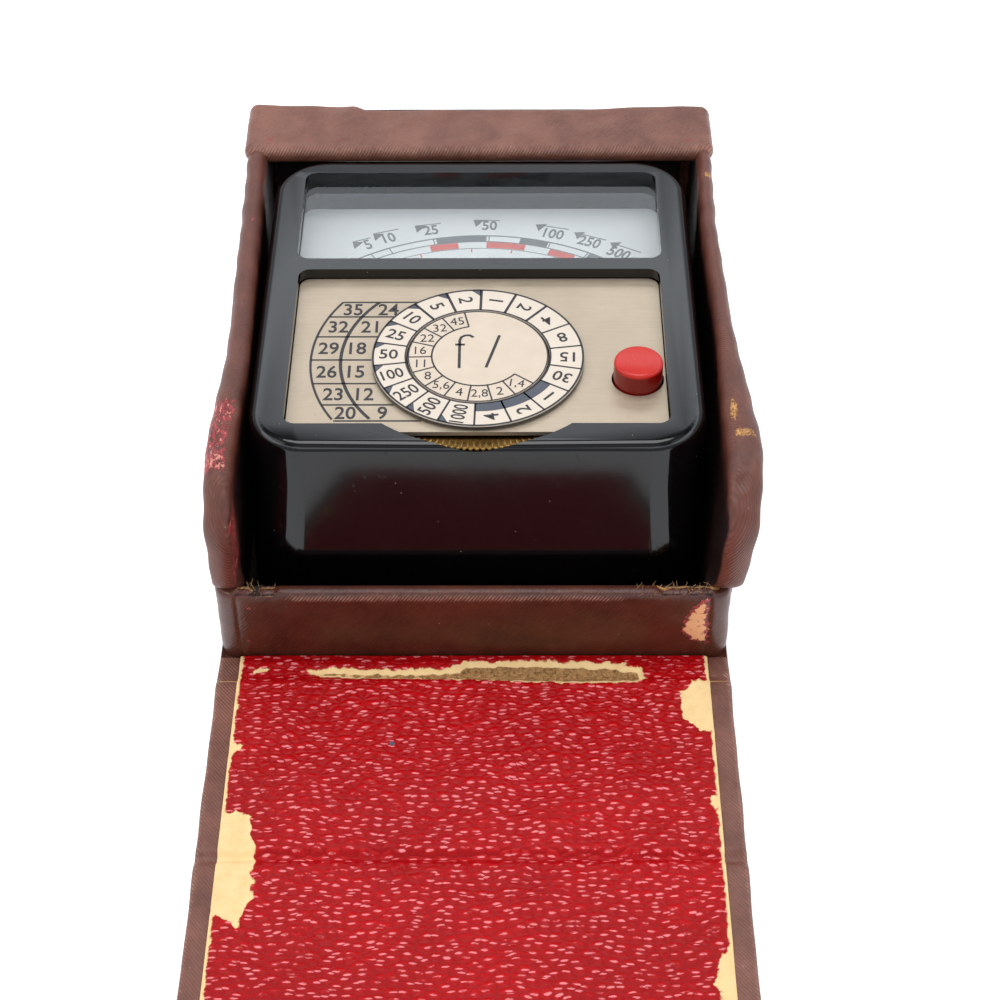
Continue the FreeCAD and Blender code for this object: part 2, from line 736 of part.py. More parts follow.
def make_dial():
    """Plate, fixed post and disc, and the ring and wheel that turn."""
    post = turned("centre_post", "meter_x", "dial_y", [
        ("0", "deck_z + 0.05"), ("rivet_radius", "deck_z + 0.05"), ("rivet_radius", "chamber_z"),
        ("post_radius", "chamber_z"), ("post_radius", "wheel_z + wheel_thick + 0.2"),
        ("post_head", "wheel_z + wheel_thick + 0.2"), ("post_head", "ring_z"), ("0", "ring_z")])
    disc = turned("f_number_disc", "meter_x", "dial_y", [
        ("0", "ring_z"), ("disc_radius", "ring_z"), ("disc_radius", "ring_z + ring_thick"),
        ("0", "ring_z + ring_thick")])
    ring = turned("time_ring", "meter_x", "dial_y", [
        ("ring_bore", "ring_z"), ("ring_radius", "ring_z"), ("ring_radius", "ring_z + ring_thick"),
        ("ring_bore", "ring_z + ring_thick")])
    return [calculator_plate(), post, disc, thumb_wheel(), ring]


def make_button():
    """Push button, its return spring, and the contacts that it bridges."""
    x, y = "meter_x + button_x", "button_y"
    button = turned("red_button", x, y, [
        ("0", "washer_z + 0.6"), ("button_stem", "washer_z + 0.6"), ("button_stem", "flange_top - 0.8"),
        ("flange_radius", "flange_top - 0.8"), ("flange_radius", "flange_top"),
        ("button_radius", "flange_top"), ("button_radius", "button_top"), ("0", "button_top")])
    top = value("button_top")
    fillet(button, button.Tip, "button_radius / 4", lambda middle, edge: abs(middle.z - top) < 0.01
           and edge.Curve.TypeId == "Part::GeomCircle")
    washer = cylinder("contact_washer", "washer_radius", x, y, "washer_z", "washer_z + 0.6")
    block_top = "base_top + block_height"
    block = cylinder("contact_block", "block_radius", x, y, "base_top", block_top)
    posts = group("contact_posts", [
        cylinder(f"contact_post_{i}", "contact_radius", f"{x} + {side} * contact_spread", y,
                 block_top, "washer_z - button_travel - 0.1") for i, side in enumerate((-1, 1))])
    return [button, washer, block, posts, button_spring(x, y, block_top, "flange_top - 0.8")]


def button_spring(x, y, low, high):
    """The return spring: stacked open turns of round wire between its two seats."""
    turns = 5
    radius, wire = value("spring_radius"), value("spring_wire")
    foot, top = value(low) + wire / 2, value(high) - wire / 2
    pitch = (top - foot) / turns
    helix = Part.makeHelix(pitch, top - foot, radius)
    section = Part.Wire(Part.makeCircle(wire / 2, Vector(radius, 0, 0), Vector(0, 1, 0)))
    item = doc.addObject("Part::Feature", "button_spring")
    item.Shape = Part.Wire(helix.Edges).makePipeShell([section], True, True)
    item.Placement = Placement(Vector(value(x), value(y), foot), Rotation())
    return item


# ---------------------------------------------------------------- light cell
def cell_pane():
    """The clear pane over the cell, with upright ribs on its outer face."""
    body = new_body("cell_window")
    sketch = sketch_on(body, "XY_Plane", "cell_low - 0.4")
    rib_y = "cell_plane + cell_thick + pane_thick * 0.6"
    x = centred("cell_width", "1.6")
    polygon(sketch, [(x[0], "cell_plane + cell_thick"), (x[1], "cell_plane + cell_thick"),
                     (x[1], rib_y), (x[0], rib_y)])
    height = "cell_high - cell_low + 0.8"
    pad(body, sketch, height)
    pitch = "(cell_width - 4) / pane_ribs"
    rib = sketch_on(body, "XY_Plane", "cell_low - 0.4")
    left = "meter_x - cell_width / 2 + 2"
    polygon(rib, [(left, rib_y), (f"{left} + {pitch} * 0.8", rib_y),
                  (f"{left} + {pitch} * 0.4", "cell_plane + cell_thick + pane_thick")])
    ridge = pad(body, rib, height)
    ribs = body.newObject("PartDesign::LinearPattern", "ribs")
    ribs.Originals = [ridge]
    ribs.Direction = (rib, ["H_Axis"])
    bind(ribs, "Length", "(cell_width - 4) * (1 - 1 / pane_ribs)")
    bind(ribs, "Occurrences", "pane_ribs")
    body.Tip = ribs
    return body


def make_cell():
    """Cell plate, ribbed pane, frame that clamps them and two contact springs."""
    cell_x, cell_z = centred("cell_width"), ("cell_low", "cell_high")
    cell = box("selenium_cell", cell_x, ("cell_plane", "cell_plane + cell_thick"), cell_z)
    back = "cell_plane + cell_thick - frame_thick"
    outer = box("frame_block", centred("cell_width", "1.6"), (back, "cell_plane + cell_thick"),
                ("cell_low - 0.4", "cell_high + 0.4"))
    seat = box("frame_seat", cell_x, ("cell_plane", "body_foot_far"), cell_z)
    way = box("frame_way", centred("cell_width", "-4"), (f"{back} - 1", "body_foot_far"),
              ("cell_low + 2.5", "cell_high - 2.5"))
    frame = cut("cell_frame", outer, join("frame_spaces", [seat, way]))
    springs = []
    for i, side in enumerate((-1, 1)):
        middle = f"meter_x + {side} * cell_width / 4"
        leaf = new_body(f"contact_leaf_{i}")
        profile = sketch_on(leaf, "YZ_Plane", middle)
        bow_z = "(cell_low + cell_high) / 2"
        polygon(profile, [(back, f"{bow_z} - 3"), (f"{back} + leaf_thick", f"{bow_z} - 3"),
                          ("cell_plane", bow_z), (f"{back} + leaf_thick", f"{bow_z} + 3"),
                          (back, f"{bow_z} + 3"), ("cell_plane - leaf_thick * 1.2", bow_z)])
        pad(leaf, profile, "leaf_width", both_ways=True)
        springs.append(leaf)
    return [cell_pane(), cell, frame, group("contact_springs", springs)]


# ---------------------------------------------------------------- movement
DIAL = ("meter_x", "dial_y")


def magnet_circuit():
    """Horseshoe magnet, two bored pole pieces, the core between them and its support."""
    z = ("pole_low", "pole_top")
    leg = "pole_width / 2 + magnet_leg"
    front, back = "dial_y + pole_depth / 2", "dial_y - magnet_back"
    magnet = new_body("magnet")
    outline = sketch_on(magnet, "XY_Plane", z[0])
    polygon(outline, [(f"meter_x - ({leg})", back), (f"meter_x + {leg}", back), (f"meter_x + {leg}", front),
                      ("meter_x + pole_width / 2", front),
                      ("meter_x + pole_width / 2", f"{back} + magnet_leg"),
                      ("meter_x - pole_width / 2", f"{back} + magnet_leg"),
                      ("meter_x - pole_width / 2", front), (f"meter_x - ({leg})", front)])
    pad(magnet, outline, "pole_height")

    poles = []
    for name, x in (("left", ("meter_x - pole_width / 2", "meter_x - pole_gap")),
                    ("right", ("meter_x + pole_gap", "meter_x + pole_width / 2"))):
        block = box(f"pole_block_{name}", x, ("dial_y - pole_depth / 2", front), z)
        bore = cylinder(f"pole_bore_{name}", "pole_bore", *DIAL, "pole_low - 1", "pole_top + 1")
        poles.append(cut(f"pole_{name}", block, bore))
    core = cylinder("core", "core_radius", *DIAL, "pole_low", "pole_top")
    bar_z = ("pole_low + pole_height / 2 - 1", "pole_low + pole_height / 2 + 1")
    bar = box("support_bar", ("meter_x - 1.3", "meter_x + 1.3"), (f"{back} + magnet_leg", DIAL[1]), bar_z)
    return [magnet, group("pole_pieces", poles), core, cut("core_support", bar, core)]


def bridges():
    """Upper and lower bearing bridges with their feet, and the jewel screws in them."""
    nodes = []
    reach = "pole_width / 2 - 1.5"
    for name, low, feet in (("upper", "upper_bridge_z", ("pole_top", "upper_bridge_z")),
                            ("lower", "lower_bridge_z", ("lower_bridge_z + bridge_thick", "pole_low"))):
        high = f"{low} + bridge_thick"
        strip = box(f"{name}_strip", ("meter_x - bridge_length / 2", "meter_x + bridge_length / 2"),
                    ("dial_y - bridge_width / 2", "dial_y + bridge_width / 2"), (low, high))
        legs = [cylinder(f"{name}_leg_{side + 1}", "1.1", f"meter_x + {side} * ({reach})", DIAL[1], *feet)
                for side in (-1, 1)]
        hole = cylinder(f"{name}_jewel_hole", "jewel_radius", *DIAL, f"{low} - 1", f"{high} + 1")
        nodes.append(cut(f"{name}_bridge", join(f"{name}_frame", [strip] + legs), hole))
    bore = "staff_radius + running_clearance"
    depth = 0.5
    upper = turned("upper_jewel", *DIAL, [
        (bore, "upper_bridge_z - 0.2"), ("jewel_radius", "upper_bridge_z - 0.2"),
        ("jewel_radius", "upper_bridge_z + bridge_thick + 0.3"),
        ("0", "upper_bridge_z + bridge_thick + 0.3"),
        ("0", f"upper_bridge_z + {depth}"), (bore, f"upper_bridge_z + {depth}")])
    top = "lower_bridge_z + bridge_thick"
    lower = turned("lower_jewel", *DIAL, [
        ("0", "lower_bridge_z"), ("jewel_radius", "lower_bridge_z"), ("jewel_radius", f"{top} + 0.2"),
        (bore, f"{top} + 0.2"), (bore, f"{top} - {depth}"), ("0", f"{top} - {depth}")])
    return nodes + [group("jewel_screws", [upper, lower])]


def aimed(item, x="meter_x", y="dial_y"):
    """Turn an object about the dial's axis so that its own +X points the way of the pointer."""
    bind(item, "Placement.Rotation.Angle", "pointer_rest")
    item.Placement.Rotation = Rotation(Vector(0, 0, 1), value("pointer_rest"))
    return place(item, x, y, "0")


def moving_coil():
    """The rectangular coil around the core, standing square to the pointer."""
    body = new_body("moving_coil")
    sketch = sketch_on(body, "YZ_Plane")
    half, inner = "coil_width / 2", "coil_width / 2 - coil_wire"
    polygon(sketch, [(f"-({half})", "coil_foot"), (half, "coil_foot"),
                     (half, "coil_top"), (f"-({half})", "coil_top")])
    polygon(sketch, [(f"-({inner})", "coil_foot + coil_wire"), (inner, "coil_foot + coil_wire"),
                     (inner, "coil_top - coil_wire"), (f"-({inner})", "coil_top - coil_wire")])
    pad(body, sketch, "coil_breadth", both_ways=True)
    return aimed(body)


def pointer():
    """Flat pointer, cranked upwards to reach the scale, with a balanced tail and a hub."""
    body = new_body("pointer_arm")
    sketch = sketch_on(body, "XZ_Plane")
    high = "pointer_z + pointer_thick"
    polygon(sketch, [("-pointer_tail", "hub_z"), ("pointer_crank", "hub_z"), ("pointer_crank", "pointer_z"),
                     ("pointer_length", "pointer_z"), ("pointer_length", high),
                     ("pointer_crank - 0.4", high), ("pointer_crank - 0.4", "hub_z + pointer_thick"),
                     ("-pointer_tail", "hub_z + pointer_thick")])
    pad(body, sketch, "pointer_width", both_ways=True)
    weight = doc.addObject("Part::Cylinder", "tail_weight")
    bind(weight, "Radius", "tail_weight_radius")
    bind(weight, "Height", "tail_weight_radius")
    place(weight, "1 - pointer_tail", "0", "hub_z")
    hub = doc.addObject("Part::Cylinder", "pointer_hub")
    bind(hub, "Radius", "pointer_hub_radius")
    bind(hub, "Height", "2 * pointer_thick")
    place(hub, "0", "0", "hub_z")
    way = doc.addObject("Part::Cylinder", "staff_way")
    bind(way, "Radius", "staff_radius")
    bind(way, "Height", "3")
    place(way, "0", "0", "hub_z - 1")
    return aimed(cut("pointer", join("pointer_blank", [body, weight, hub]), way))


def hairspring(label, low):
    """A flat spiral strip of half-circle arcs, each a step wider than the last."""
    step, start, thick = value("hairspring_step"), value("hairspring_start"), value("hairspring_thick")
    turns = 7

    def edge(offset):
        arcs = []
        for i in range(turns):
            radius = start + i * step + offset
            middle = step / 2 if i % 2 else -step / 2
            side = 1 if i % 2 else -1
            ends = (Vector(middle - side * radius, 0, 0), Vector(middle + side * radius, 0, 0))
            crown = Vector(middle, side * radius, 0)
            arcs.append(Part.Arc(ends[0], crown, ends[1]).toShape())
        return arcs
    inner, outer = edge(-thick / 2), edge(thick / 2)
    first = Part.LineSegment(inner[0].Vertexes[0].Point, outer[0].Vertexes[0].Point).toShape()
    last = Part.LineSegment(inner[-1].Vertexes[-1].Point, outer[-1].Vertexes[-1].Point).toShape()
    outline = Part.Wire(Part.__sortEdges__(inner + [last] + outer + [first]))
    item = doc.addObject("Part::Feature", label)
    item.Shape = Part.Face(outline).extrude(Vector(0, 0, value("pointer_thick")))
    item.Placement = Placement(Vector(value(DIAL[0]), value(DIAL[1]), value(low)), Rotation())
    return item


def zero_adjuster():
    """A slotted stud turning in the base, with an arm and a finger for the lower hairspring."""
    stud = turned("zero_stud", "0", "0", [
        ("0", "floor_top + 0.1"), ("zero_radius", "floor_top + 0.1"), ("zero_radius", "base_top + 0.05"),
        ("zero_radius + 0.8", "base_top + 0.05"), ("zero_radius + 0.8", "base_top + 0.35"),
        ("0", "base_top + 0.35")])
    arm = box("zero_arm", ("-0.6", "0.6"), ("0", "5"), ("base_top + 0.05", "base_top + 0.35"))
    finger = cylinder("zero_finger", "0.4", "0", "4.55", "base_top + 0.05", "coil_foot - 0.3")
    slot = box("zero_slot", ("-zero_radius - 1", "zero_radius + 1"), ("-0.4", "0.4"),
               ("floor_top - 1", "floor_top + 0.9"))
    return place(cut("zero_adjuster", join("zero_blank", [stud, arm, finger]), slot), *DIAL)


def wire(points, radius, bend):
    """Round wire along straight runs joined by tangent arcs."""
    edges = []
    spot = points[0]
    for before, corner, after in zip(points, points[1:], points[2:]):
        arriving = (corner - before).normalize()
        leaving = (after - corner).normalize()
        half_turn = arriving.getAngle(leaving) / 2
        setback = bend * math.tan(half_turn)
        start, end = corner - arriving * setback, corner + leaving * setback
        inward = (leaving - arriving).normalize()
        middle = corner + inward * (bend / math.cos(half_turn) - bend)
        edges.append(Part.LineSegment(spot, start).toShape())
        edges.append(Part.Arc(start, middle, end).toShape())
        spot = end
    edges.append(Part.LineSegment(spot, points[-1]).toShape())
    path = Part.Wire(edges)
    section = Part.Wire(Part.makeCircle(radius, points[0], points[1] - points[0]))
    return path.makePipeShell([section], True, False)


def wiring():
    """Series resistor on a bobbin and the leads from the cell frame to it and to the bridge."""
    x, y = "meter_x - 19", "dial_y - 9"
    foot, top = "base_top", "base_top + 8"
    core, rim = "resistor_radius - 0.8", "resistor_radius"
    resistor = turned("series_resistor", x, y, [
        ("0", foot), (rim, foot), (rim, f"{foot} + 0.8"), (core, f"{foot} + 0.8"), (core, f"{top} - 0.8"),
        (rim, f"{top} - 0.8"), (rim, top), ("0", top)])
    radius, bend = value("lead_radius"), value("lead_bend")
    back = value("cell_plane + cell_thick - frame_thick")
    low = value("cell_low + 1")
    left, middle, dial = value(x), value("meter_x"), value(DIAL[1])
    high = value(top) + radius + 2.5
    bridge_side = value("lower_bridge_z + bridge_thick / 2")
    aside = value("lead_aside")
    routes = [
        [Vector(left, back, low), Vector(left, back - 5, low), Vector(left, back - 10, high),
         Vector(left, value(y), high), Vector(left, value(y), value(top))],
        [Vector(middle + aside, back, low), Vector(middle + aside, back - 6, low),
         Vector(middle + aside, dial, bridge_side),
         Vector(middle + value("bridge_length") / 2, dial, bridge_side)],
    ]
    leads = []
    for i, route in enumerate(routes):
        lead = doc.addObject("Part::Feature", f"lead_{i}")
        lead.Shape = wire(route, radius, bend)
        leads.append(lead)
    return [resistor, group("cell_leads", leads)]


def make_movement():
    """Everything between the base and the pointer."""
    staff = [cylinder("upper_staff", "staff_radius", *DIAL, "coil_top", "upper_bridge_z + 0.45"),
             cylinder("lower_staff", "staff_radius", *DIAL, "lower_bridge_z + bridge_thick - 0.45",
                      "coil_foot")]
    spots = [(side, y) for y in ("dial_y - magnet_back + 2", "dial_y + pole_depth / 2 - 2")
             for side in (-1, 1)]
    pillars = [cylinder(f"pillar_{i}", "pillar_radius", f"meter_x + {side} * (pole_width + magnet_leg) / 2",
                        y, "base_top", "pole_low") for i, (side, y) in enumerate(spots)]
    return magnet_circuit() + bridges() + [
        moving_coil(), group("coil_pivots", staff), pointer(),
        hairspring("upper_hairspring", "coil_top + 0.3"),
        hairspring("lower_hairspring", "coil_foot - 0.7"), zero_adjuster(),
        group("movement_pillars", pillars)] + wiring()


# ---------------------------------------------------------------- build, check and write
def write_nodes(nodes):
    """Stop at any failed object, then write each node's solids."""
    doc.recompute()
    for item in doc.Objects:
        if "Invalid" in item.State or "Error" in item.State:
            raise ValueError(f"{item.Label} failed: {item.State}")
    os.makedirs("parts", exist_ok=True)
    for node in nodes:
        shape = node.Shape
        if shape.isNull() or not shape.isValid() or not shape.Solids:
            raise ValueError(f"{node.Label} has no sound solid")
        print(f"{node.Label:20s} {len(shape.Solids)} solids {shape.Volume:10.2f} mm3")
        shape.exportStep(os.path.join("parts", node.Label + ".step"))
    print(len(nodes), "nodes")


write_nodes(make_case() + make_flap() + make_housing() + make_dial() + make_button() + make_cell()
            + make_movement())
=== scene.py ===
# %% [markdown]
# # A selenium light meter in its folding case
# The object is a small exposure meter from the middle of the last century: a polished black
# body with a window, a calculator dial and a red button, lying in a case made like a book,
# of board covered in brown cloth and lined with red grained paper.
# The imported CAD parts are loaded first. They fix every size, and each new surface is laid
# over them, so that the looks never change the measurements.

# %% Load the frame and the tools
import json
import math
import bmesh
import bpy
import numpy as np
from mathutils import Matrix, Vector


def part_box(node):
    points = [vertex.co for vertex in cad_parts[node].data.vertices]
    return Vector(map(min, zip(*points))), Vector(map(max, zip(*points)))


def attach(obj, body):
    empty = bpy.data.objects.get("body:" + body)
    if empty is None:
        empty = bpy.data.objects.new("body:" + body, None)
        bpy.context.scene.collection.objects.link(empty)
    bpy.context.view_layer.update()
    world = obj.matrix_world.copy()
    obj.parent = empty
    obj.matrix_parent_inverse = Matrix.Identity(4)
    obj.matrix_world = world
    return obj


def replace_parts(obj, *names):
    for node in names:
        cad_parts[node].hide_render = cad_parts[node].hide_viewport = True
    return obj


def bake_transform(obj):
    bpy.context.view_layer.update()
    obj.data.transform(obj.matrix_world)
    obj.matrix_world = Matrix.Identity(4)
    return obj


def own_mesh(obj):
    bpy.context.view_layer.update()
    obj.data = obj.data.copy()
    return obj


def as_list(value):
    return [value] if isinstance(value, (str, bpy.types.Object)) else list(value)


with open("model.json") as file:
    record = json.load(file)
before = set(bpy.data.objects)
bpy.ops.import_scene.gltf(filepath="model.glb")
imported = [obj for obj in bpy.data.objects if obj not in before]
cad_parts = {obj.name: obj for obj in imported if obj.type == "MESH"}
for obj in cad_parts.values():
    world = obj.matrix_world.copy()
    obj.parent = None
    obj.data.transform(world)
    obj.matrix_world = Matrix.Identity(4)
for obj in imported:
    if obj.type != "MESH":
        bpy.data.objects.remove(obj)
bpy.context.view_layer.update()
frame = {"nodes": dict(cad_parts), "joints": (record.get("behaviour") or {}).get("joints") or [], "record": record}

MM = 0.001
scene = bpy.context.scene

# %% [markdown]
# ## Sizes that the parts share
# Everything below is in millimetres in the part's own frame: x to the right, y away from the
# reader, z up. The places of the folds and of the dial are read from the parts. The shapes
# of the cloths and of the printing are written out in numbers.

# %% Read the places
def ends(node):
    """The lowest and highest corner of a part, in millimetres."""
    low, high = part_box(node)
    return np.array(low) / MM, np.array(high) / MM


fold_y = [joint["pos_m"][1] / MM for joint in frame["joints"] if joint["name"].endswith("_fold")]
(dial_x, dial_y, _), ring_high = (ends("time_ring")[0]
    + ends("time_ring")[1]) / 2, ends("time_ring")[1][2]
case_high = ends("cover_hood")[1]
near_wall_y = -40.0
flap_end_y = ends("end_cover")[0][1]
print("folds at", np.round(fold_y, 2), "dial centre", round(dial_x, 2), round(dial_y, 2))

# %% [markdown]
# ## The camera
# The camera looks down at the open case from the flap's side. Its axes are built from three
# angles: how far it tips down, how far it is turned, and a small roll.

# %% Place the camera
def aim(tip, turn, roll):
    """Camera axes: a level heading turned about z, tipped down, then rolled about itself."""
    t, p, r = (math.radians(angle) for angle in (tip, turn, roll))
    right = Vector((math.cos(p), math.sin(p), 0))
    ahead = Vector((-math.sin(p) * math.cos(t), math.cos(p) * math.cos(t), -math.sin(t)))
    above = Vector((-math.sin(p) * math.sin(t), math.cos(p) * math.sin(t), math.cos(t)))
    side = math.cos(r) * right + math.sin(r) * above
    top = math.cos(r) * above - math.sin(r) * right
    return Matrix((side, top, -ahead)).transposed()


lens = bpy.data.cameras.new("camera")
camera_place, camera_tip, camera_turn, camera_roll = (4.45, -224.14, 202.38), 43.59, 0.36, -0.31
lens.lens, lens.sensor_width = 80.3, 36.0
lens.clip_start, lens.clip_end = 0.01, 20.0
camera = bpy.data.objects.new("camera", lens)
scene.collection.objects.link(camera)
axes = aim(camera_tip, camera_turn, camera_roll).to_4x4()
camera.matrix_world = Matrix.Translation(Vector(camera_place) * MM) @ axes
scene.camera = camera
scene.view_settings.view_transform = "Standard"
print("camera at", [round(v, 3) for v in camera.location])

# %% [markdown]
# ## Shader sums written as sums
# A finish is a tree of nodes. One class wraps a socket, so that `1 - mask * 0.5` adds its
# Math nodes by itself, and one method makes any other node.

# %% The finish class
class Wire:
    """One output socket of a finish, on which Python's operators add Math nodes."""
    def __init__(self, finish, socket):
        self.finish, self.socket = finish, socket

    def sum(self, operation, *others, clamp=False):
        return self.finish.node("Math", {"operation": operation, "use_clamp": clamp}, *others)

    def __add__(self, other): return self.sum("ADD", self, other)
    def __radd__(self, other): return self.sum("ADD", other, self)
    def __sub__(self, other): return self.sum("SUBTRACT", self, other)
    def __rsub__(self, other): return self.sum("SUBTRACT", other, self)
    def __mul__(self, other): return self.sum("MULTIPLY", self, other)
    def __rmul__(self, other): return self.sum("MULTIPLY", other, self)
    def __pow__(self, other): return self.sum("POWER", self, other)
    def clamped(self): return self.sum("ADD", self, 0.0, clamp=True)
    def sine(self): return self.sum("SINE", self)

    def step(self, low, high):
        """0 below low, 1 above high, and a smooth rise between them."""
        return self.finish.node("MapRange", {"interpolation_type": "SMOOTHSTEP"},
                                self, low, high, 0.0, 1.0)


class Finish:
    """A material made of nodes: `node` adds any node, and `surface` ends the tree."""
    def __init__(self, name):
        self.material = bpy.data.materials.new(name)
        self.material.use_nodes = True
        self.tree = self.material.node_tree
        self.tree.nodes.clear()

    def plug(self, socket, value):
        if isinstance(value, Wire):
            self.tree.links.new(value.socket, socket)
        elif value is not None:
            socket.default_value = value

    def node(self, kind, settings=None, *values, out=0, **named):
        made = self.tree.nodes.new("ShaderNode" + kind)
        for key, setting in (settings or {}).items():
            setattr(made, key, setting)
        for socket, value in zip(made.inputs, values):
            self.plug(socket, value)
        for key, value in named.items():
            self.plug(made.inputs[key.replace("_", " ")], value)
        return Wire(self, made.outputs[out])

    def place(self, attribute=None):
        """Millimetres on the surface's own attribute, or in the part's frame."""
        if attribute:
            return self.node("Attribute", {"attribute_name": attribute}, out="Vector")
        where = self.node("TexCoord", out="Object")
        return self.node("VectorMath", {"operation": "SCALE"}, where, Scale=1 / MM)

    def axis(self, where, number):
        """One number of a place: 0 across, 1 along, 2 up."""
        return self.node("SeparateXYZ", None, where, out=number)

    def value(self, attribute):
        return self.node("Attribute", {"attribute_name": attribute}, out="Fac")

    def stretch(self, where, scale, turn=0.0):
        """The same place with each axis scaled, after a turn about z."""
        turned = self.node("Mapping", None, where, None, (0, 0, math.radians(turn)), (1, 1, 1))
        return self.node("VectorMath", {"operation": "MULTIPLY"}, turned, scale)

    def noise(self, where, size, detail=3.0, rough=0.55, seed=0.0):
        moved = self.node("VectorMath", {"operation": "ADD"}, where, (seed, seed * 1.7, seed * 0.6))
        return self.node("TexNoise", None, Vector=moved, Scale=1 / size, Detail=detail, Roughness=rough)

    def cells(self, where, size, feature="F1", out="Distance"):
        return self.node("TexVoronoi", {"feature": feature}, Vector=where, Scale=1 / size, out=out)

    def blend(self, mask, first, second):
        made = self.tree.nodes.new("ShaderNodeMix")
        made.data_type = "RGBA"
        for index, value in ((0, mask), (6, first), (7, second)):
            self.plug(made.inputs[index], value)
        return Wire(self, made.outputs[2])

    def bump(self, height, depth, strength=1.0, after=None):
        """Height in 0 to 1 as a relief of that depth in millimetres."""
        return self.node("Bump", None, Strength=strength, Distance=depth * MM, Height=height,
            Normal=after)

    def surface(self, **sockets):
        shader = self.node("BsdfPrincipled", None, **sockets)
        return self.end(shader)

    def end(self, shader):
        output = self.tree.nodes.new("ShaderNodeOutputMaterial")
        self.tree.links.new(shader.socket, output.inputs["Surface"])
        return self.material


def rgb(red, green, blue):
    """A colour as a screen shows it, 0 to 255, turned into light."""
    return tuple(((v / 255 + 0.055) / 1.055) ** 2.4 if v > 10 else v / 255 / 12.92
                 for v in (red, green, blue)) + (1.0,)


print("finish tools ready")

# %% [markdown]
# ## Surfaces worked out as arrays
# A surface is a grid of points, `points[i, j]`. Its faces are the squares between neighbours.
# Points that meet, as at a pole or a closed seam, are welded.

# %% The grid builder
def skin(name, points, body, finish, slot=None, around=(False, False), marks=None, flip=False,
        smooth=True, keep=None):
    """A mesh from a grid: square (i, j) joins points i, i+1 and j, j+1; `around` closes an
    axis on itself. Equal points are welded, and squares that lose a corner become triangles."""
    rows, columns = points.shape[:2]
    i = np.arange(rows if around[0] else rows - 1)[:, None]
    j = np.arange(columns if around[1] else columns - 1)[None, :]
    i2, j2 = (i + 1) % rows, (j + 1) % columns
    faces = np.stack([i * columns + j, i2 * columns + j, i2 * columns + j2, i * columns + j2],
        -1).reshape(-1, 4)
    if keep is not None:
        faces = faces[keep.ravel()]
    return mesh(name, points.reshape(-1, 3), faces, body, finish, slot, marks, flip, smooth)


def mesh(name, points, faces, body, finish, slot=None, marks=None, flip=False, smooth=True):
    """An object from points in millimetres and four-cornered faces, welded and shaded. An
    edge with a face on one side only is marked sharp, so it doesn't bend the shading."""
    _, first, same = np.unique(np.round(points, 5), axis=0, return_index=True, return_inverse=True)
    faces = same.reshape(-1)[faces]
    if flip:
        faces = faces[:, ::-1]
    squeezed = faces == np.roll(faces, -1, axis=1)
    quads = faces[~squeezed.any(1)]
    threes = [np.delete(faces[squeezed[:, k] & (squeezed.sum(1) == 1)], k, axis=1) for k in range(4)]
    threes = np.concatenate(threes)
    data = bpy.data.meshes.new(name)
    data.from_pydata((points[first] * MM).tolist(), [], quads.tolist() + threes.tolist())
    for key, values in (marks or {}).items():
        values = np.asarray(values, float)
        if values.shape[-1:] == (3,) and values.size == points.size:
            data.attributes.new(key, "FLOAT_VECTOR", "POINT").data.foreach_set(
                "vector", values.reshape(-1, 3)[first].astype(np.float32).ravel())
        else:
            data.attributes.new(key, "FLOAT", "POINT").data.foreach_set(
                "value", values.reshape(-1)[first].astype(np.float32))
    data.polygons.foreach_set("use_smooth", [smooth] * len(data.polygons))
    edge_of = np.zeros(len(data.loops), np.int32)
    data.loops.foreach_get("edge_index", edge_of)
    lone = np.bincount(edge_of, minlength=len(data.edges)) == 1
    data.attributes.new("sharp_edge", "BOOLEAN", "EDGE").data.foreach_set("value", lone)
    data.materials.append(finish)
    made = bpy.data.objects.new(name, data)
    scene.collection.objects.link(made)
    if body:
        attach(made, body)
    return made


def turned(name, profile, centre, body, finish, slot=None, count=96, wave=None):
    """A lathe shape: the profile of (radius, height) goes round a centre; `wave` may change
    the radius by angle and step."""
    angle = np.linspace(0, 2 * np.pi, count, endpoint=False)[:, None]
    radius, height = np.array(profile, float).T
    reach = radius[None, :] + (wave(angle, radius, height) if wave else 0 * angle)
    points = grid(centre[0] + reach * np.cos(angle), centre[1] + reach * np.sin(angle), height)
    return skin(name, points, body, finish, slot, (True, False))


def rounded(corners, radius, steps=6):
    """An open profile whose inner corners are replaced by arcs of that radius."""
    corners = [np.array(c, float) for c in corners]
    path = [corners[0][None]]
    for before, here, after in zip(corners, corners[1:], corners[2:]):
        back, on = before - here, after - here
        reach = min(radius, np.linalg.norm(back) * 0.49, np.linalg.norm(on) * 0.49)
        t = np.linspace(0, 1, steps)[:, None]
        start, stop = here + back / np.linalg.norm(back) * reach, here + on / np.linalg.norm(on) * reach
        path.append((1 - t) ** 2 * start + 2 * t * (1 - t) * here + t ** 2 * stop)
    return np.concatenate(path + [corners[-1][None]])


def thicken(piece, thickness, offset=-1.0):
    """Give a sheet its thickness, in millimetres."""
    solid = piece.modifiers.new("thickness", "SOLIDIFY")
    solid.thickness, solid.offset = thickness * MM, offset
    return piece


def inside(x, y, corners):
    """Signed distance to a closed outline, in millimetres: positive inside it."""
    corners = np.array(corners, float)
    a, b = corners, np.roll(corners, -1, axis=0)
    p = grid(x, y)[..., None, :]
    t = np.clip(((p - a) * (b - a)).sum(-1) / ((b - a) ** 2).sum(-1), 0, 1)
    near = np.linalg.norm(p - a - t[..., None] * (b - a), axis=-1).min(-1)
    crossing = ((a[:, 1] > p[..., 1]) != (b[:, 1] > p[..., 1])) & (
        p[..., 0] < (b[:, 0] - a[:, 0]) * (p[..., 1] - a[:, 1]) / (b[:, 1] - a[:, 1] + 1e-12) + a[:, 0])
    return np.where(crossing.sum(-1) % 2 == 1, near, -near)


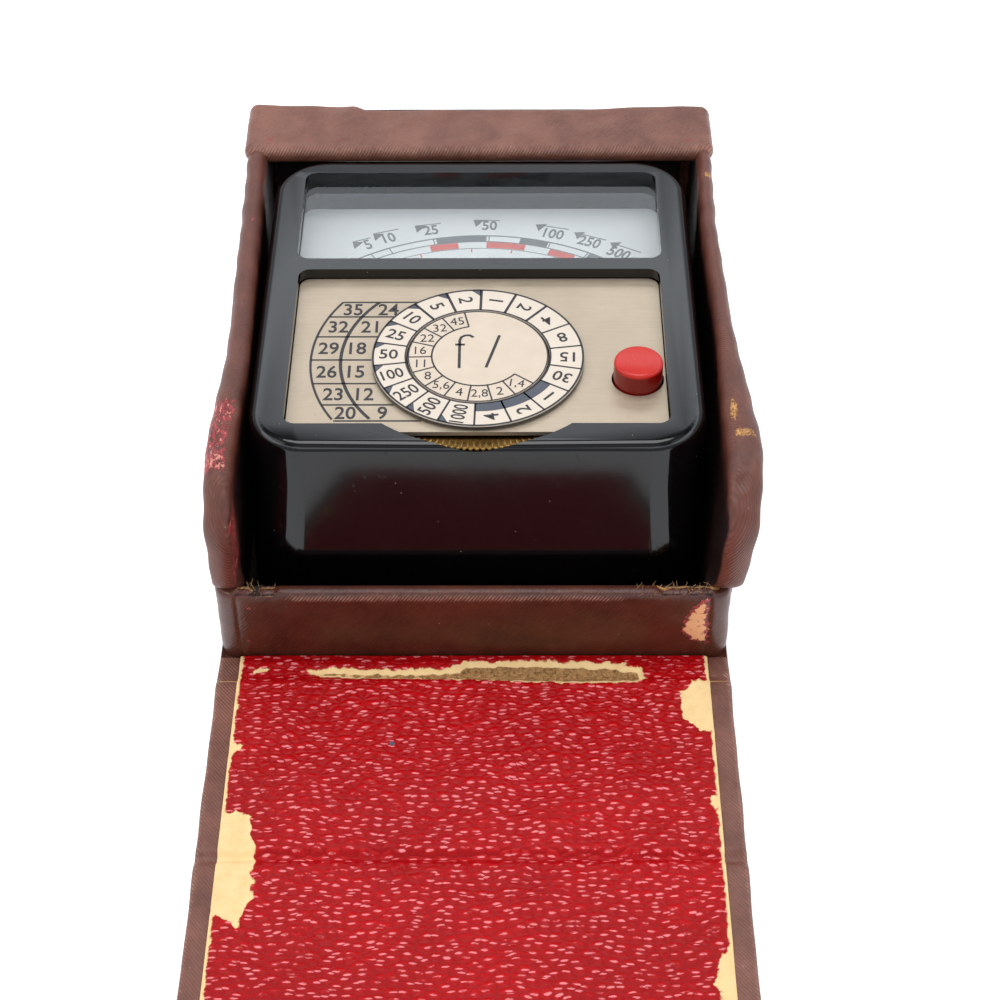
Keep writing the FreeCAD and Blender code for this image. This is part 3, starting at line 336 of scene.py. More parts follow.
def worn(x, y, outlines):
    """The largest signed distance to several outlines."""
    return np.max([inside(x, y, outline) for outline in outlines], axis=0)


def grid(*parts):
    """Points from one array for each axis, spread to a common shape."""
    return np.stack(np.broadcast_arrays(*parts), -1)


def travelled(path):
    """How far along a line each of its points lies, in millimetres."""
    return np.concatenate([[0], np.cumsum(np.linalg.norm(np.diff(path, axis=0), axis=1))])


def finer(path, step):
    """The same line with its points no more than about `step` apart."""
    pieces = [np.linspace(a, b, max(2, int(np.linalg.norm(b - a) / step)))[:-1] for a,
        b in zip(path, path[1:])]
    return np.concatenate(pieces + [path[-1:]])


def bell(value, width):
    """1 where the value is zero, fading on both sides over about `width`."""
    return np.exp(-(value / width) ** 2)


def rise(value, low, high):
    """A smooth step from 0 to 1 between low and high."""
    t = np.clip((value - low) / (high - low), 0, 1)
    return t * t * (3 - 2 * t)


def ripple(x, y, size, seed):
    """Smooth seeded unevenness: sums of a few waves in mixed directions, about -1 to 1."""
    draw = np.random.default_rng(seed)
    total = 0.0 * x
    for angle, phase, stretch in zip(draw.uniform(0, np.pi, 7), draw.uniform(0, 6.3, 7),
            draw.uniform(0.6, 1.8, 7)):
        total = total + np.sin((x * np.cos(angle) + y * np.sin(angle)) * 2 * np.pi * stretch / size
            + phase)
    return total / 3.5


print("surface tools ready")

# %% [markdown]
# ## Finishes of the case
# The case is covered in coated book cloth: a fine slanting weave shows through a brown coat,
# which has rubbed pale along the edges and chipped to red in places. Along the band's top and
# the hood's lip the pale edge is also a painted highlight, and the walls and the band take
# darker copies of the cloth as painted shade. The lining is paper with a pressed leather grain,
# long pebbles whose glossy tops carry painted highlights, with painted shade in the grooves.
# Where it tore, cream paper and tan board show.

# %% Brown cloth
def brown_cloth(name, coat, dark, shine=0.42, flesh_tone=rgb(214, 134, 116), woven=1.0):
    """Coated cloth: a slanting weave in millimetres, stains, rubbed edges with a painted highlight,
    painted shade on inner faces, and chips, whose places come from the mesh's own marks."""
    f = Finish(name)
    where = f.place("cloth")
    slant = f.stretch(where, (1, 1, 1), 38.0)
    thread = f.noise(f.stretch(slant, (1.0, 0.30, 1.0)), 0.32, 2.0, 0.5)
    wander = f.noise(where, 2.5, 2.0) * 3.0
    line = (f.axis(slant, 0) * (2 * math.pi / 0.34) + wander).sine() * 0.5 + 0.5
    cloud = f.noise(where, 6.0, 5.0, 0.62, 3.0)
    spots = f.noise(where, 0.9, 4.0, 0.7, 9.0)
    # The rub mark pales the threads: rubbed wear, and along the band's top and the hood's lip a painted highlight.
    wear_and_sheen = (f.value("rub") + (spots - 0.5) * 0.9).step(0.35, 0.95)
    colour = f.blend((cloud - 0.5) * 2.6 + 0.5 + (thread - 0.5) * 0.9, dark, coat)
    colour = f.blend((1 - line) * (0.6 - wear_and_sheen * 0.25) * woven, colour, dark)
    colour = f.blend(wear_and_sheen * line * 0.75, colour, rgb(190, 142, 124))
    # Painted shade: the shade mark darkens the walls' inner faces towards near black.
    colour = f.blend(f.value("shade"), colour, rgb(18, 5, 7))
    red = (f.value("chip") + (spots - 0.5) * 2.4 + (thread - 0.5) * 0.8).step(0.72, 0.86)
    flesh = (f.value("chip") + (f.noise(where, 0.7, 3.0, 0.6, 21.0) - 0.5) * 2.6).step(1.08, 1.25)
    colour = f.blend(red, colour, f.blend(spots.step(0.35, 0.65), rgb(104, 34, 36), rgb(168, 60, 62)))
    colour = f.blend(flesh, colour, flesh_tone)
    bare = (f.value("bare") + (f.noise(where, 0.8, 4.0, 0.7, 5.0) - 0.5) * 1.1).step(-0.06, 0.06)
    board = f.blend(f.noise(where, 0.35, 4.0, 0.7).step(0.35, 0.65), rgb(112, 70, 36), rgb(214, 158, 98))
    colour = f.blend(bare, colour, board)
    speck = f.cells(where, 2.3).step(0.045, 0.02)
    colour = f.blend(speck * 0.4, colour, rgb(215, 190, 165))
    height = thread * 0.45 + line * (0.4 * woven) + spots * 0.4 - red * 0.5 - bare * 0.6
    rough = (shine + (spots - 0.5) * 0.22 + wear_and_sheen * 0.05 + bare * 0.35).clamped()
    return f.surface(Base_Color=colour, Roughness=rough, IOR=1.48, Normal=f.bump(height, 0.09, 1.0))


# One cloth in four copies: the lit copy for the hood, a slightly darker one for the flap's border, and darker
# copies for the walls and for the band and underside as painted shade.
cloth_lit = brown_cloth("leatherette", rgb(150, 98, 80), rgb(104, 62, 50))
cloth_border = brown_cloth("leatherette_border", rgb(138, 86, 70), rgb(98, 56, 44))
cloth_wall_shaded = brown_cloth("leatherette_wall", rgb(122, 68, 53), rgb(82, 42, 32), 0.42, woven=0.8)
cloth_shaded = brown_cloth("leatherette_dark", rgb(92, 44, 29), rgb(66, 30, 19), 0.36, rgb(232, 172, 124),
    0.35)


# %% Red grained lining
def red_grain(name):
    """Pressed paper: one pebble in each random cell, longer across than along. A pebble's glossy crest
    is a painted highlight, a short dash beyond its middle; grooves and near sides get painted shade."""
    f = Finish(name)
    where = f.place("cloth")
    bend = f.node("CombineXYZ", None, 0.0, f.noise(where, 8.0, 2.0, 0.5) * 2.6, 0.0)
    moved = f.node("VectorMath", {"operation": "ADD"}, where, bend)
    grid = f.stretch(moved, (1 / 1.45, 1 / 0.98, 0.0))
    flat = {"voronoi_dimensions": "2D"}
    middle = f.node("TexVoronoi", flat, Vector=grid, Scale=1.0, out="Position")
    reach = f.node("TexVoronoi", {**flat, "feature": "DISTANCE_TO_EDGE"}, Vector=grid, Scale=1.0,
        out="Distance")
    apart = f.node("VectorMath", {"operation": "SUBTRACT"}, grid, middle)
    along = f.axis(apart, 0) * 1.45
    across = f.axis(apart, 1) * 0.98
    fine = f.noise(f.stretch(moved, (0.8, 1.7, 1.0)), 0.55, 4.0, 0.6, 2.0)
    cloud = f.noise(where, 10.0, 4.0, 0.6, 7.0)
    strong = f.noise(where, 2.2, 3.0, 0.6, 13.0)
    nearness = (f.axis(where, 1) * -1.0).step(85.0, 165.0)
    tilt = across - 0.16 + (fine - 0.5) * 0.35
    oval = 1 - (along * 1.9) ** 2.0 - (tilt * (6.6 - nearness * 2.8)) ** 2.0
    # Painted highlight: the pink dash on each pebble's crest, fainter towards the near end.
    dash = oval.step(0.0, 0.65) * (strong + (fine - 0.5) * 0.6).step(0.34, 0.52)
    groove = 1 - reach.step(0.0, 0.13)
    dome = reach.step(0.0, 0.38)
    colour = f.blend(cloud.step(0.3, 0.72), rgb(170, 0, 5), rgb(188, 3, 10))
    # Painted shade: the grooves between pebbles and each pebble's near side are darker.
    colour = f.blend(groove * 0.55, colour, rgb(126, 0, 6))
    colour = f.blend((1 - tilt.step(-0.5, 0.1)) * 0.35, colour, rgb(128, 0, 6))
    # Painted sheen: a pink haze that grows towards the near end of the flap.
    colour = f.blend(nearness * (fine * 0.55), colour, rgb(200, 40, 54))
    colour = f.blend(dash * (0.9 - nearness * 0.4), colour, rgb(236, 134, 138))
    scuff = (f.value("rub") + (f.noise(where, 1.4, 5.0, 0.7, 4.0) - 0.5) * 1.2).step(0.5, 1.0)
    colour = f.blend(scuff * 0.5, colour, rgb(196, 60, 72))
    ragged = (f.noise(where, 1.1, 5.0, 0.75, 6.0) - 0.5) * 1.5
    bare = (f.value("bare") + ragged * 0.55).step(-0.08, 0.1)
    core = (f.value("core") + ragged * 0.5).step(-0.1, 0.15)
    paper = f.blend(f.noise(where, 1.6, 5.0, 0.65, 8.0), rgb(226, 184, 124), rgb(250, 222, 168))
    board = f.blend(f.noise(where, 0.4, 4.0, 0.75, 1.0).step(0.3, 0.7), rgb(104, 72, 44),
        rgb(186, 142, 92))
    speck = f.node("VectorMath", {"operation": "DISTANCE"}, where, (-9.4, -54.8, 0.0), out="Value")
    colour = f.blend(bare, colour, paper)
    colour = f.blend(core, colour, board)
    colour = f.blend(1 - speck.step(0.25, 0.38), colour, rgb(74, 84, 104))
    height = (dome * 0.8 + fine * 0.45) * (1 - bare) + bare * (0.25 + 0.15 * f.noise(where, 0.4, 4.0))
    rough = (0.34 + fine * 0.12 + bare * 0.5 + scuff * 0.1).clamped()
    return f.surface(Base_Color=colour, Roughness=rough, IOR=1.26, Normal=f.bump(height, 0.11, 1.0))


lining = red_grain("red_lining")
print("case finishes:", [m.name for m in bpy.data.materials])

# %% [markdown]
# ## Finishes of the meter
# The body is a thermosetting moulding, polished by its mould. The plate and rings are thin
# silvered metal with printing, the wheel is brass that has darkened, and the button is a
# red moulding. Small dust, hazes and fine scratches keep them from looking new.

# %% Black moulding, metals and plastics
def polished_black():
    """Deep gloss with a little haze, dust and hair scratches."""
    f = Finish("black_moulding")
    where = f.place()
    haze = f.noise(where, 9.0, 4.0, 0.6)
    dust = f.cells(where, 2.6).step(0.035, 0.015)
    scratch = f.noise(f.stretch(where, (0.12, 3.0, 1.0), 24.0), 0.9, 2.0, 0.5, 3.0).step(0.72, 0.76)
    colour = f.blend(haze, rgb(1, 1, 2), rgb(5, 5, 7))
    colour = f.blend(dust * 0.7, colour, rgb(150, 140, 130))
    rough = (0.045 + haze * 0.07 + scratch * 0.12 + dust * 0.4).clamped()
    return f.surface(Base_Color=colour, Roughness=rough, IOR=1.47,
                     Normal=f.bump(haze * 0.6 + scratch * 0.1, 0.03, 0.35))


def metal(name, light, dark, rough=0.32, grain=(1.0, 1.0, 1.0), size=1.2, spots=0.0, metallic=1.0,
        turn=0.0):
    """Metal or plated metal: brushed noise along one way, tarnish in clouds, and spots."""
    f = Finish(name)
    where = f.place()
    brushed = f.noise(f.stretch(where, grain, turn), size, 3.0, 0.6)
    cloud = f.noise(where, 6.0, 5.0, 0.62, 4.0)
    colour = f.blend((cloud * 0.7 + brushed * 0.5 - 0.1).clamped(), dark, light)
    if spots:
        mark = f.noise(where, 0.7, 4.0, 0.7, 11.0).step(0.62, 0.72)
        colour = f.blend(mark * spots, colour, dark)
    roughness = (rough + (brushed - 0.5) * 0.18 + (cloud - 0.5) * 0.15).clamped()
    return f.surface(Base_Color=colour, Metallic=metallic, Roughness=roughness,
                     Normal=f.bump(brushed, 0.02, 0.5))


def moulded(name, light, dark, rough=0.35, size=1.0, depth=0.02, speckle=0.0, side=None, **extra):
    """Plastic, card or enamel: two near colours in clouds, fine tooth, and a few specks.
    `side` is a height and the colour of everything lower than it."""
    f = Finish(name)
    where = f.place()
    cloud = f.noise(where, 5.0 * size, 4.0, 0.6)
    tooth = f.noise(where, 0.35 * size, 3.0, 0.6, 5.0)
    colour = f.blend((cloud * 1.2 - 0.1).clamped(), dark, light)
    if speckle:
        dot = f.cells(where, 1.3 * size).step(0.09, 0.04)
        colour = f.blend(dot * speckle, colour, dark)
    if side:
        level = f.axis(where, 2)
        colour = f.blend(level.step(side[0] - 0.05, side[0]), side[1], colour)
    return f.surface(Base_Color=colour, Roughness=(rough + (tooth - 0.5) * 0.2).clamped(),
                     Normal=f.bump(tooth, depth, 0.6), **extra)


def clear_pane():
    """Window glass: colourless, with faint smears in its gloss."""
    f = Finish("clear_glass")
    smear = f.noise(f.place(), 4.0, 4.0, 0.6)
    return f.surface(Base_Color=(0.97, 0.99, 0.99, 1.0), Roughness=(smear - 0.45).clamped() * 0.12,
        IOR=1.36,
                     Transmission_Weight=1.0)


paint = {
    "leatherette": cloth_shaded,
    # Painted shade: a dark paper for the parts that lie deep in shadow.
    "dark_paper": moulded("dark_paper", rgb(46, 24, 20), rgb(30, 16, 14), 0.8, 0.6, 0.05),
    "board": moulded("board", rgb(196, 150, 98), rgb(150, 104, 60), 0.85, 0.6, 0.08, 0.4),
    "red_lining": lining,
    "nickel_silver": metal("nickel_silver", rgb(226, 214, 196), rgb(176, 162, 144), 0.36, (0.1, 3.0, 1.0),
        0.5, 0.35),
    # The ring's side, below its top, is painted dark: painted shade.
    "silvered_dial": moulded("silvered_dial", rgb(228, 214, 197), rgb(213, 198, 180), 0.38, 1.0, 0.01,
        0.25,
                             (ring_high - 0.12, rgb(70, 62, 56)), Specular_IOR_Level=0.6),
    "black_moulding": polished_black(),
    "clear_glass": clear_pane(),
    "white_scale": moulded("white_scale", rgb(238, 238, 236), rgb(230, 232, 232), 0.6),
    "red_plastic": moulded("red_plastic", rgb(206, 40, 26), rgb(190, 26, 16), 0.24, 0.8, 0.008, 0.3,
                           (ends("red_button")[1][2] - 0.55, rgb(124, 12, 7)), IOR=1.45),
    "steel": metal("steel", rgb(205, 205, 208), rgb(150, 150, 156), 0.28),
    "brass": metal("brass", rgb(158, 124, 70), rgb(74, 54, 26), 0.30, (1.0, 1.0, 1.0), 0.5, 0.6),
    "copper_coil": metal("copper_coil", rgb(196, 112, 70), rgb(140, 70, 44), 0.3, (1.0, 1.0, 6.0), 0.3),
    "cell_grey": moulded("cell_grey", rgb(92, 92, 98), rgb(66, 66, 72), 0.5, 0.7, 0.02, 0.5),
    "lead_sleeve": moulded("lead_sleeve", rgb(50, 48, 46), rgb(26, 25, 24), 0.7, 0.3, 0.04),
    "pointer_black": moulded("pointer_black", rgb(34, 34, 34), rgb(18, 18, 18), 0.55),
}
plate_metal = metal("plate_metal", rgb(208, 192, 171), rgb(170, 153, 131), 0.42, (0.12, 2.0, 1.0), 0.6,
    0.5,
                    0.6)
disc_metal = moulded("disc_metal", rgb(223, 205, 185), rgb(207, 189, 168), 0.42, 0.5, 0.01, 0.3)
ink = moulded("ink", rgb(52, 50, 54), rgb(40, 38, 42), 0.55)
ink_slate = moulded("ink_slate", rgb(84, 88, 98), rgb(70, 74, 84), 0.55)
ink_grey = moulded("ink_grey", rgb(120, 122, 124), rgb(92, 95, 98), 0.55)
ink_red = moulded("ink_red", rgb(232, 96, 80), rgb(214, 70, 60), 0.55)
print(len(bpy.data.materials), "finishes")

# %% Every part takes its slot's finish, and the parts deep in shadow a dark paper as painted shade
for row in frame["record"]["subparts"]:
    node = frame["nodes"][row["node"]]
    node.data.materials.clear()
    deep_in_shade = row["node"] in ("wall_far", "hood_top", "wall_near", "case_floor", "floor_lining")
    node.data.materials.append(paint["dark_paper" if deep_in_shade else row["material_slot"]])

# %% [markdown]
# ## Side walls
# Each side wall is a board wrapped in cloth, fat and round along its top, that leans out
# towards the near end and stops in a bulge above the front band. One closed surface makes
# it: a loop runs round the board's edge, and each point of the loop is joined across the
# board, over the round edge, from the middle of one face to the middle of the other.

# %% Wall surfaces
def flow(y, stations, values, spread=5.0):
    """Straight lines between stations, averaged over a few millimetres either side."""
    return np.mean([np.interp(y + k, stations, values) for k in np.linspace(-spread, spread, 11)],
        axis=0)


def wall(name, side, stations, lean, foot, half, nodes, chips, bare=(), dents=()):
    """A slab between two faces: x = outline(y, z) less the half thickness, which shrinks to
    nothing at the edge as a quarter ellipse does. The loop is the slab's edge seen from the side.
    A chip is a place and size along y and z; a bare spot or dent is along y and across the edge."""
    top, corner, far = case_high[2], 8.0, 39.9
    loop = rounded([(-37.6, 5.0), (-37.6, 10.4), (-39.9, 12.4), (-40.0, top), (29.4, top),
        (29.9, top - 1.0),
                    (far, top - 1.0), (far, 0.4), (-37.6, 0.4), (-37.6, 5.0)], 1.2, 7)
    near = loop[:, 1] > 15
    arc = np.linspace(np.pi, np.pi / 2, 22)
    bend = np.stack([-40 + corner + corner * np.cos(arc), top - corner + corner * np.sin(arc)], -1)
    lower = loop[(loop[:, 0] < -36) & (loop[:, 1] < 15) & (np.arange(len(loop)) < 30)]
    upper = loop[np.argmax((loop[:, 0] > -30) & near):]
    rest = np.concatenate([lower, bend, upper])
    length = travelled(rest)
    along = np.linspace(0, length[-1], 460)[:-1]
    ring = np.stack([np.interp(along, length, rest[:, k]) for k in (0, 1)], -1)
    middle = np.stack([np.clip(ring[:, 0], -31.0, 34.0), np.full(len(ring), 8.0)], -1)
    reach = np.linalg.norm(ring - middle, axis=1)[:, None]
    edge = 1.45
    theta = np.linspace(0, np.pi / 2, 9)
    depth = np.concatenate([np.linspace(1, 0, 8)[:-1], -np.sin(theta)])
    depth = np.concatenate([depth, depth[::-1][1:]])
    face = np.concatenate([np.ones(7), np.cos(theta)])
    face = np.concatenate([face, -face[::-1][1:]])
    inner = np.where(depth >= 0, edge + depth * (reach - edge), edge * (1 + depth))
    spot = ring[:, None, :] + (middle - ring)[:, None, :] / reach[:, None] * inner[..., None]
    y, z = spot[..., 0], spot[..., 1]
    share = rise(z, 0.0, 26.5)
    outline = flow(y, stations, lean) * share + foot * (1 - share)
    outline += 0.10 * ripple(y, z, 7.0, 3) * rise(z, 3, 9)
    tuck = (1 - rise(z, 10.6, 12.2)) * (1 - rise(y, -37.5, -33.0))
    outline -= 0.9 * tuck
    fat = flow(y, *half) * (0.8 + 0.2 * share)
    x = side * (outline - fat + fat * face[None, :])
    points = grid(x, y, z)
    cloth = grid(y, z - 1.4 * side * x, x)
    skin_side = np.broadcast_to(face[None, :], y.shape)
    hit = np.max([c[4] * (1 - rise(np.hypot((y - c[0]) / c[2], (z - c[1]) / c[3]), 0.55,
        1.15)) for c in chips], axis=0)
    hit = hit * rise(skin_side + 0.9, 0, 0.5)
    bared = np.full(y.shape, -1.0)
    for b in bare:
        bared = np.maximum(bared,
            0.45 * (1 - np.hypot((y - b[0]) / b[2], (skin_side - b[1]) / b[3])) - 2 * (z < 15))
    for b in dents:
        hollow = np.exp(-((y - b[0]) / b[2]) ** 2 - ((skin_side - b[1]) / b[3]) ** 2) * (z > 15)
        points[..., 2] -= 0.45 * hollow
        points[..., 1] += 0.25 * hollow
    top_side = rise(1 - np.abs(skin_side), 0.3, 1.0)
    # The inner face below the top gets painted shade through the shade mark, except on the left wall's red strip.
    inner_side = rise(-skin_side, 0.80, 0.98) * (1 - rise(z, 22.0, 25.5))
    strip = inner_side * rise(z, 10, 13) * (1 - rise(y, -36.0, -31.5)) * (side < 0)
    made = skin(name, points, "case", cloth_wall_shaded, "leatherette", (True, False),
                {"cloth": cloth, "rub": 0.22 * top_side + 0.08, "chip": np.maximum(hit, 0.9 * strip),
                    "bare": bared,
                 "shade": 0.93 * inner_side * (1 - strip)}, flip=side > 0)
    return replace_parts(made, *nodes)


left_wall = wall("left_wall", -1, (-39.3, -29.1, -14.4, 5.6, 18.7, 30.2),
    (31.1, 31.55, 30.5, 30.9, 31.1, 31.5), 31.05,
                 ((-38, -28, -10, 30), (1.6, 1.7, 1.4, 1.25)), ("wall_left", "cover_left"),
                 [(-28, 25, 8, 8, 0.82), (-24, 27, 2, 3, 1.0), (-33, 26, 2, 3, 1.05),
                     (14, 27, 2, 2, 0.45), (-8, 27, 2, 2, 0.45)],
                 (), [(-24.0, -0.2, 1.8, 0.5), (-30.0, 0.3, 1.6, 0.5)])
wall("right_wall", 1, (-37.8, -30.9, -23.8, -8.8, 14.0, 30.0), (33.4, 34.6, 33.7, 32.4, 31.6, 32.0),
    31.3,
                  ((-38, -31, -22, -9, 30), (1.9, 2.25, 1.9, 1.1, 0.95)), ("wall_right", "cover_right"),
                  [(-20, 27, 2, 2, 0.25)], [(-24.2, -0.35, 2.0, 0.22), (-28.4, 0.0, 0.7, 0.6),
                      (23.6, 0.3, 0.6, 0.4)],
                  [(-33.0, -0.1, 1.0, 0.4), (-35.8, -0.2, 1.0, 0.4), (-30.8, 0.2, 1.2, 0.5)])
print("walls", len(left_wall.data.vertices), "points each")

# %% [markdown]
# ## Front band
# The low near wall is a strip whose cloth goes round both corners. Its top edge has
# torn at both ends: board shows there, and fluffy fibres stand up.

# %% The band
def along_path(path, count):
    """Even steps along a line of points, with the unit normal to the left of travel."""
    length = travelled(path)
    steps = np.linspace(0, length[-1], count)
    spots = np.stack([np.interp(steps, length, path[:, k]) for k in (0, 1)], -1)
    way = np.gradient(spots, axis=0)
    way /= np.linalg.norm(way, axis=1)[:, None]
    return steps, spots, np.stack([-way[:, 1], way[:, 0]], -1)


def front_band():
    """A plan path with round corners, and at each step the same arch: up the front, over
    the top, and down inside."""
    near, wide, high = near_wall_y, case_high[0] + 2.4, 11.5
    plan = rounded([(-wide, -33.0), (-wide, near), (wide, near), (wide, -33.0)], 3.0, 14)
    steps, spots, normal = along_path(plan, 330)
    arch = rounded([(0, 0.35), (0, high), (2.1, high), (2.1, 4.0)], 1.5, 8)
    arch = np.concatenate([np.linspace(arch[0], arch[1], 26)[:-1], arch[1:]])
    x0 = spots[:, 0][:, None]
    ragged = 0.18 * ripple(x0, 0 * x0, 2.6, 5)
    low_left = rise(x0, -29.0, -28.0) * (1 - rise(x0, -23.8, -23.0)) * (0.25 + ragged)
    low_right = rise(x0, 21.5, 23.0) * (0.22 + ragged * 0.8)
    z = arch[None, :, 1] - (low_left + low_right) * rise(arch[None, :, 1], 9.2, 11.4)
    belly = 0.22 * np.sin(np.pi * np.clip(arch[:, 1] / high, 0, 1))[None, :] * (np.abs(x0) < 27.5)
    wave = 0.05 * ripple(x0, z, 6.0, 8)
    out = arch[None, :, 0] - wave * (arch[None, :, 0] < 0.5) - 0.3 * belly
    x = spots[:, 0][:, None] + normal[:, 0][:, None] * out
    y = spots[:, 1][:, None] + normal[:, 1][:, None] * out
    seam = bell(np.abs(x0) - 28.3, 0.22) * (arch[None, :, 0] < 1.0)
    y = y + 0.16 * seam
    points = grid(x, y, z)
    travel = travelled(arch)
    cloth = grid(steps[:, None], travel[None, :], 0.0)
    front = arch[None, :, 0] < 0.6
    patch = inside(x, z, [(28.15, 11.3), (28.4, 6.5), (28.45, 2.8), (26.6, 3.3), (24.9, 5.4), (25.3, 7.2),
        (25.9, 8.9)])
    chip = np.where(front, 0.80 * rise(patch, -0.9, 0.3) + 0.75 * rise(patch, 0.1, 0.9), 0.0)
    for cx, cz, size in ((-27.0, 9.2, 0.5), (-27.3, 3.6, 0.45), (-9.6, 9.0, 0.5), (9.5, 7.0, 0.3),
            (2.5, 10.4, 0.4)):
        chip = np.maximum(chip, 0.85 * (1 - rise(np.hypot(x - cx, (z - cz) * 1.5), size * 0.3,
            size * 1.4)) * front)
    top = rise(z, 10.3, 11.2)
    bare = np.full(x.shape, -1.0)
    inner_edge = rise(y - near + 0.4 * ripple(x, 0 * x, 3.0, 9), 0.9, 1.5) * top
    bare = np.maximum(bare, rise(x, 21.0, 22.5) * (1 - rise(x, 29.2, 29.8)) * inner_edge * 1.3 - 0.9)
    bare = np.maximum(bare, rise(x, -28.9, -28.0) * (1 - rise(x, -23.8, -23.2)) * inner_edge * 1.2 - 0.9)
    # The top edge is lightened through the rub mark as a painted highlight, with some wear.
    rub = 0.62 * bell(z - high + 0.7, 0.55) * (arch[None, :, 0] < 1.2) * rise(x, -24, -21) \
        * (1 - rise(x, 16, 21)) + 0.12
    made = skin("front_band", points, "case", cloth_shaded, "leatherette",
                marks={"cloth": cloth, "rub": rub, "chip": chip, "bare": bare}, flip=False)
    thicken(made, 0.35, -1)
    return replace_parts(made, "cover_near"), steps[-1], travel[-1]


band, band_long, band_wide = front_band()
band_long * MM
band_wide * MM
print("front band cloth", round(band_long, 1), "by", round(band_wide, 1), "mm")

# %% [markdown]
# ## Hood and far wall
# At the far end a narrow roof joins the side walls, and the far wall below it has the
# opening through which light reaches the cell. One cloth goes from under the roof's lip,
# over the roof and down the far wall; the opening is left out of the grid.

# %% The hood
def hood():
    """A profile of lip, roof and far wall, carried across the case; near each end it falls
    away in a quarter circle."""
    high, far, lip = case_high[2], case_high[1], ends("cover_hood")[0][1]
    opening = (20.0, 6.0, 17.6)
    profile = rounded([(36.5, high - 2.0), (lip + 0.05, high - 2.1), (lip - 0.1, high), (far, high),
        (far, 18.6)], 1.0, 8)
    lower = np.array([(far, z) for z in (opening[2], 15, 12, 9, opening[1], 4.5, 3, 1.5, 0.36)])
    line = np.concatenate([finer(profile, 0.55), lower])
    way = np.gradient(line, axis=0)
    way /= np.linalg.norm(way, axis=1)[:, None] + 1e-9
    inward = np.stack([way[:, 1], -way[:, 0]], -1)
    half = np.concatenate([np.linspace(0, opening[0], 40), np.linspace(opening[0], 30.6, 22)[1:]])
    bend = np.linspace(0, np.pi / 2, 7)[1:]
    wide = np.concatenate([half, 30.6 + 0.95 * np.sin(bend)])
    drop = np.concatenate([0 * half, 0.95 * (1 - np.cos(bend))])
    x = np.concatenate([-wide[::-1], wide[1:]])[:, None]
    drop = np.concatenate([drop[::-1], drop[1:]])[:, None]
    y = line[None, :, 0] + inward[None, :, 0] * drop
    z = line[None, :, 1] + inward[None, :, 1] * drop
    on_roof = rise(line[None, :, 1], high - 1.2, high - 0.2)
    dip = rise(x, -17.5, -15.5) * (1 - rise(x, 12, 26) * 0.8)
    y = y - 0.6 * dip * rise(line[None, :, 0], 36.0, far) * rise(line[None, :, 1], 18.0, 25.0)
    z = z + (0.10 * ripple(x, line[None, :, 0], 8.0, 14) - 0.35 * rise(line[None, :, 0], 31, 39)
             * dip + 0.35 * (1 - rise(x, -31.0, -24.0)) * rise(line[None, :, 0], 32, 36)) * on_roof
    x = x + np.where(x > 0, 0.45, 0.0) * rise(np.abs(x), 20, 31)
    points = grid(x, y, z)
    travel = travelled(line)
    cloth = grid(x, travel[None, :], 0.0)
    # The lip's edge is lightened through the rub mark as a painted highlight of the weave's sparkle.
    lip_edge = bell(y - lip, 0.5) * rise(z, high - 1.6, high - 0.5)
    rub = 0.55 * lip_edge + 0.30 * rise(y, 36, 39.5) * on_roof + 0.16
    chip = 0.0 * y
    for cx, cy, sx, sy, deep in ((-28.5, 31.4, 1.5, 0.5, 0.85), (-23.5, 31.2, 3.6, 0.5, 0.7),
            (-18.5, 31.2, 1.4, 0.4, 0.8),
                                 (-28.9, 30.6, 0.7, 0.5, 0.95), (29.0, 30.9, 1.0, 0.5, 1.0), (14, 31.2,
                                     2.0, 0.35, 0.6)):
        chip = np.maximum(chip, deep * (1 - rise(np.hypot((x - cx) / sx, (y - cy) / sy), 0.4, 1.3)))
    chip = chip * on_roof
    middle = (x[:-1] + x[1:]) / 2
    height = (line[:-1, 1] + line[1:, 1]) / 2
    keep = ~((np.abs(middle) < opening[0]) & (height[None, :] < opening[2]) & (height[None,
        :] > opening[1])
             & (np.arange(len(height)) > len(line) - len(lower) - 2)[None, :])
    made = skin("hood_cover", points, "case", cloth_lit, "leatherette",
                marks={"cloth": cloth, "rub": rub, "chip": chip,
                    "bare": 0 * y - 1}, flip=True, keep=keep)
    thicken(made, 0.35, -1)
    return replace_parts(made, "cover_hood"), travel[-1]


hood_cover, hood_long = hood()
hood_long * MM
print("hood cloth", round(hood_long, 1), "mm long over the roof and down the back")

# %% [markdown]
# ## Underside and flap
# One cloth really runs under the case and along the flap, wrapped round each board with a
# narrow border on the inner side, and the red lining is glued between the borders. Cloth
# that crosses a fold has to bend there, so cloth and lining are each cut in three, halfway
# along a stiff panel.

# %% Shared heights and wear of the flap
flap_thick = 1.6


def flap_top(y):
    """Height of the inner face: level over the boards, sunk where there is no board."""
    first = rise(y, -45.2, -43.9)
    crease = sum(np.exp(-(np.abs(y - fold) / 0.75) ** 3) for fold in fold_y[1:])
    return flap_thick - 0.62 * first - 0.62 * crease


def cap_spot(x, y, radius):
    """1 over the snap's place, 0 outside it."""
    low, high = ends("snap_cap")
    centre = (low + high) / 2
    return 1 - rise(np.hypot(x - centre[0], y - centre[1]), radius, radius + 0.5)


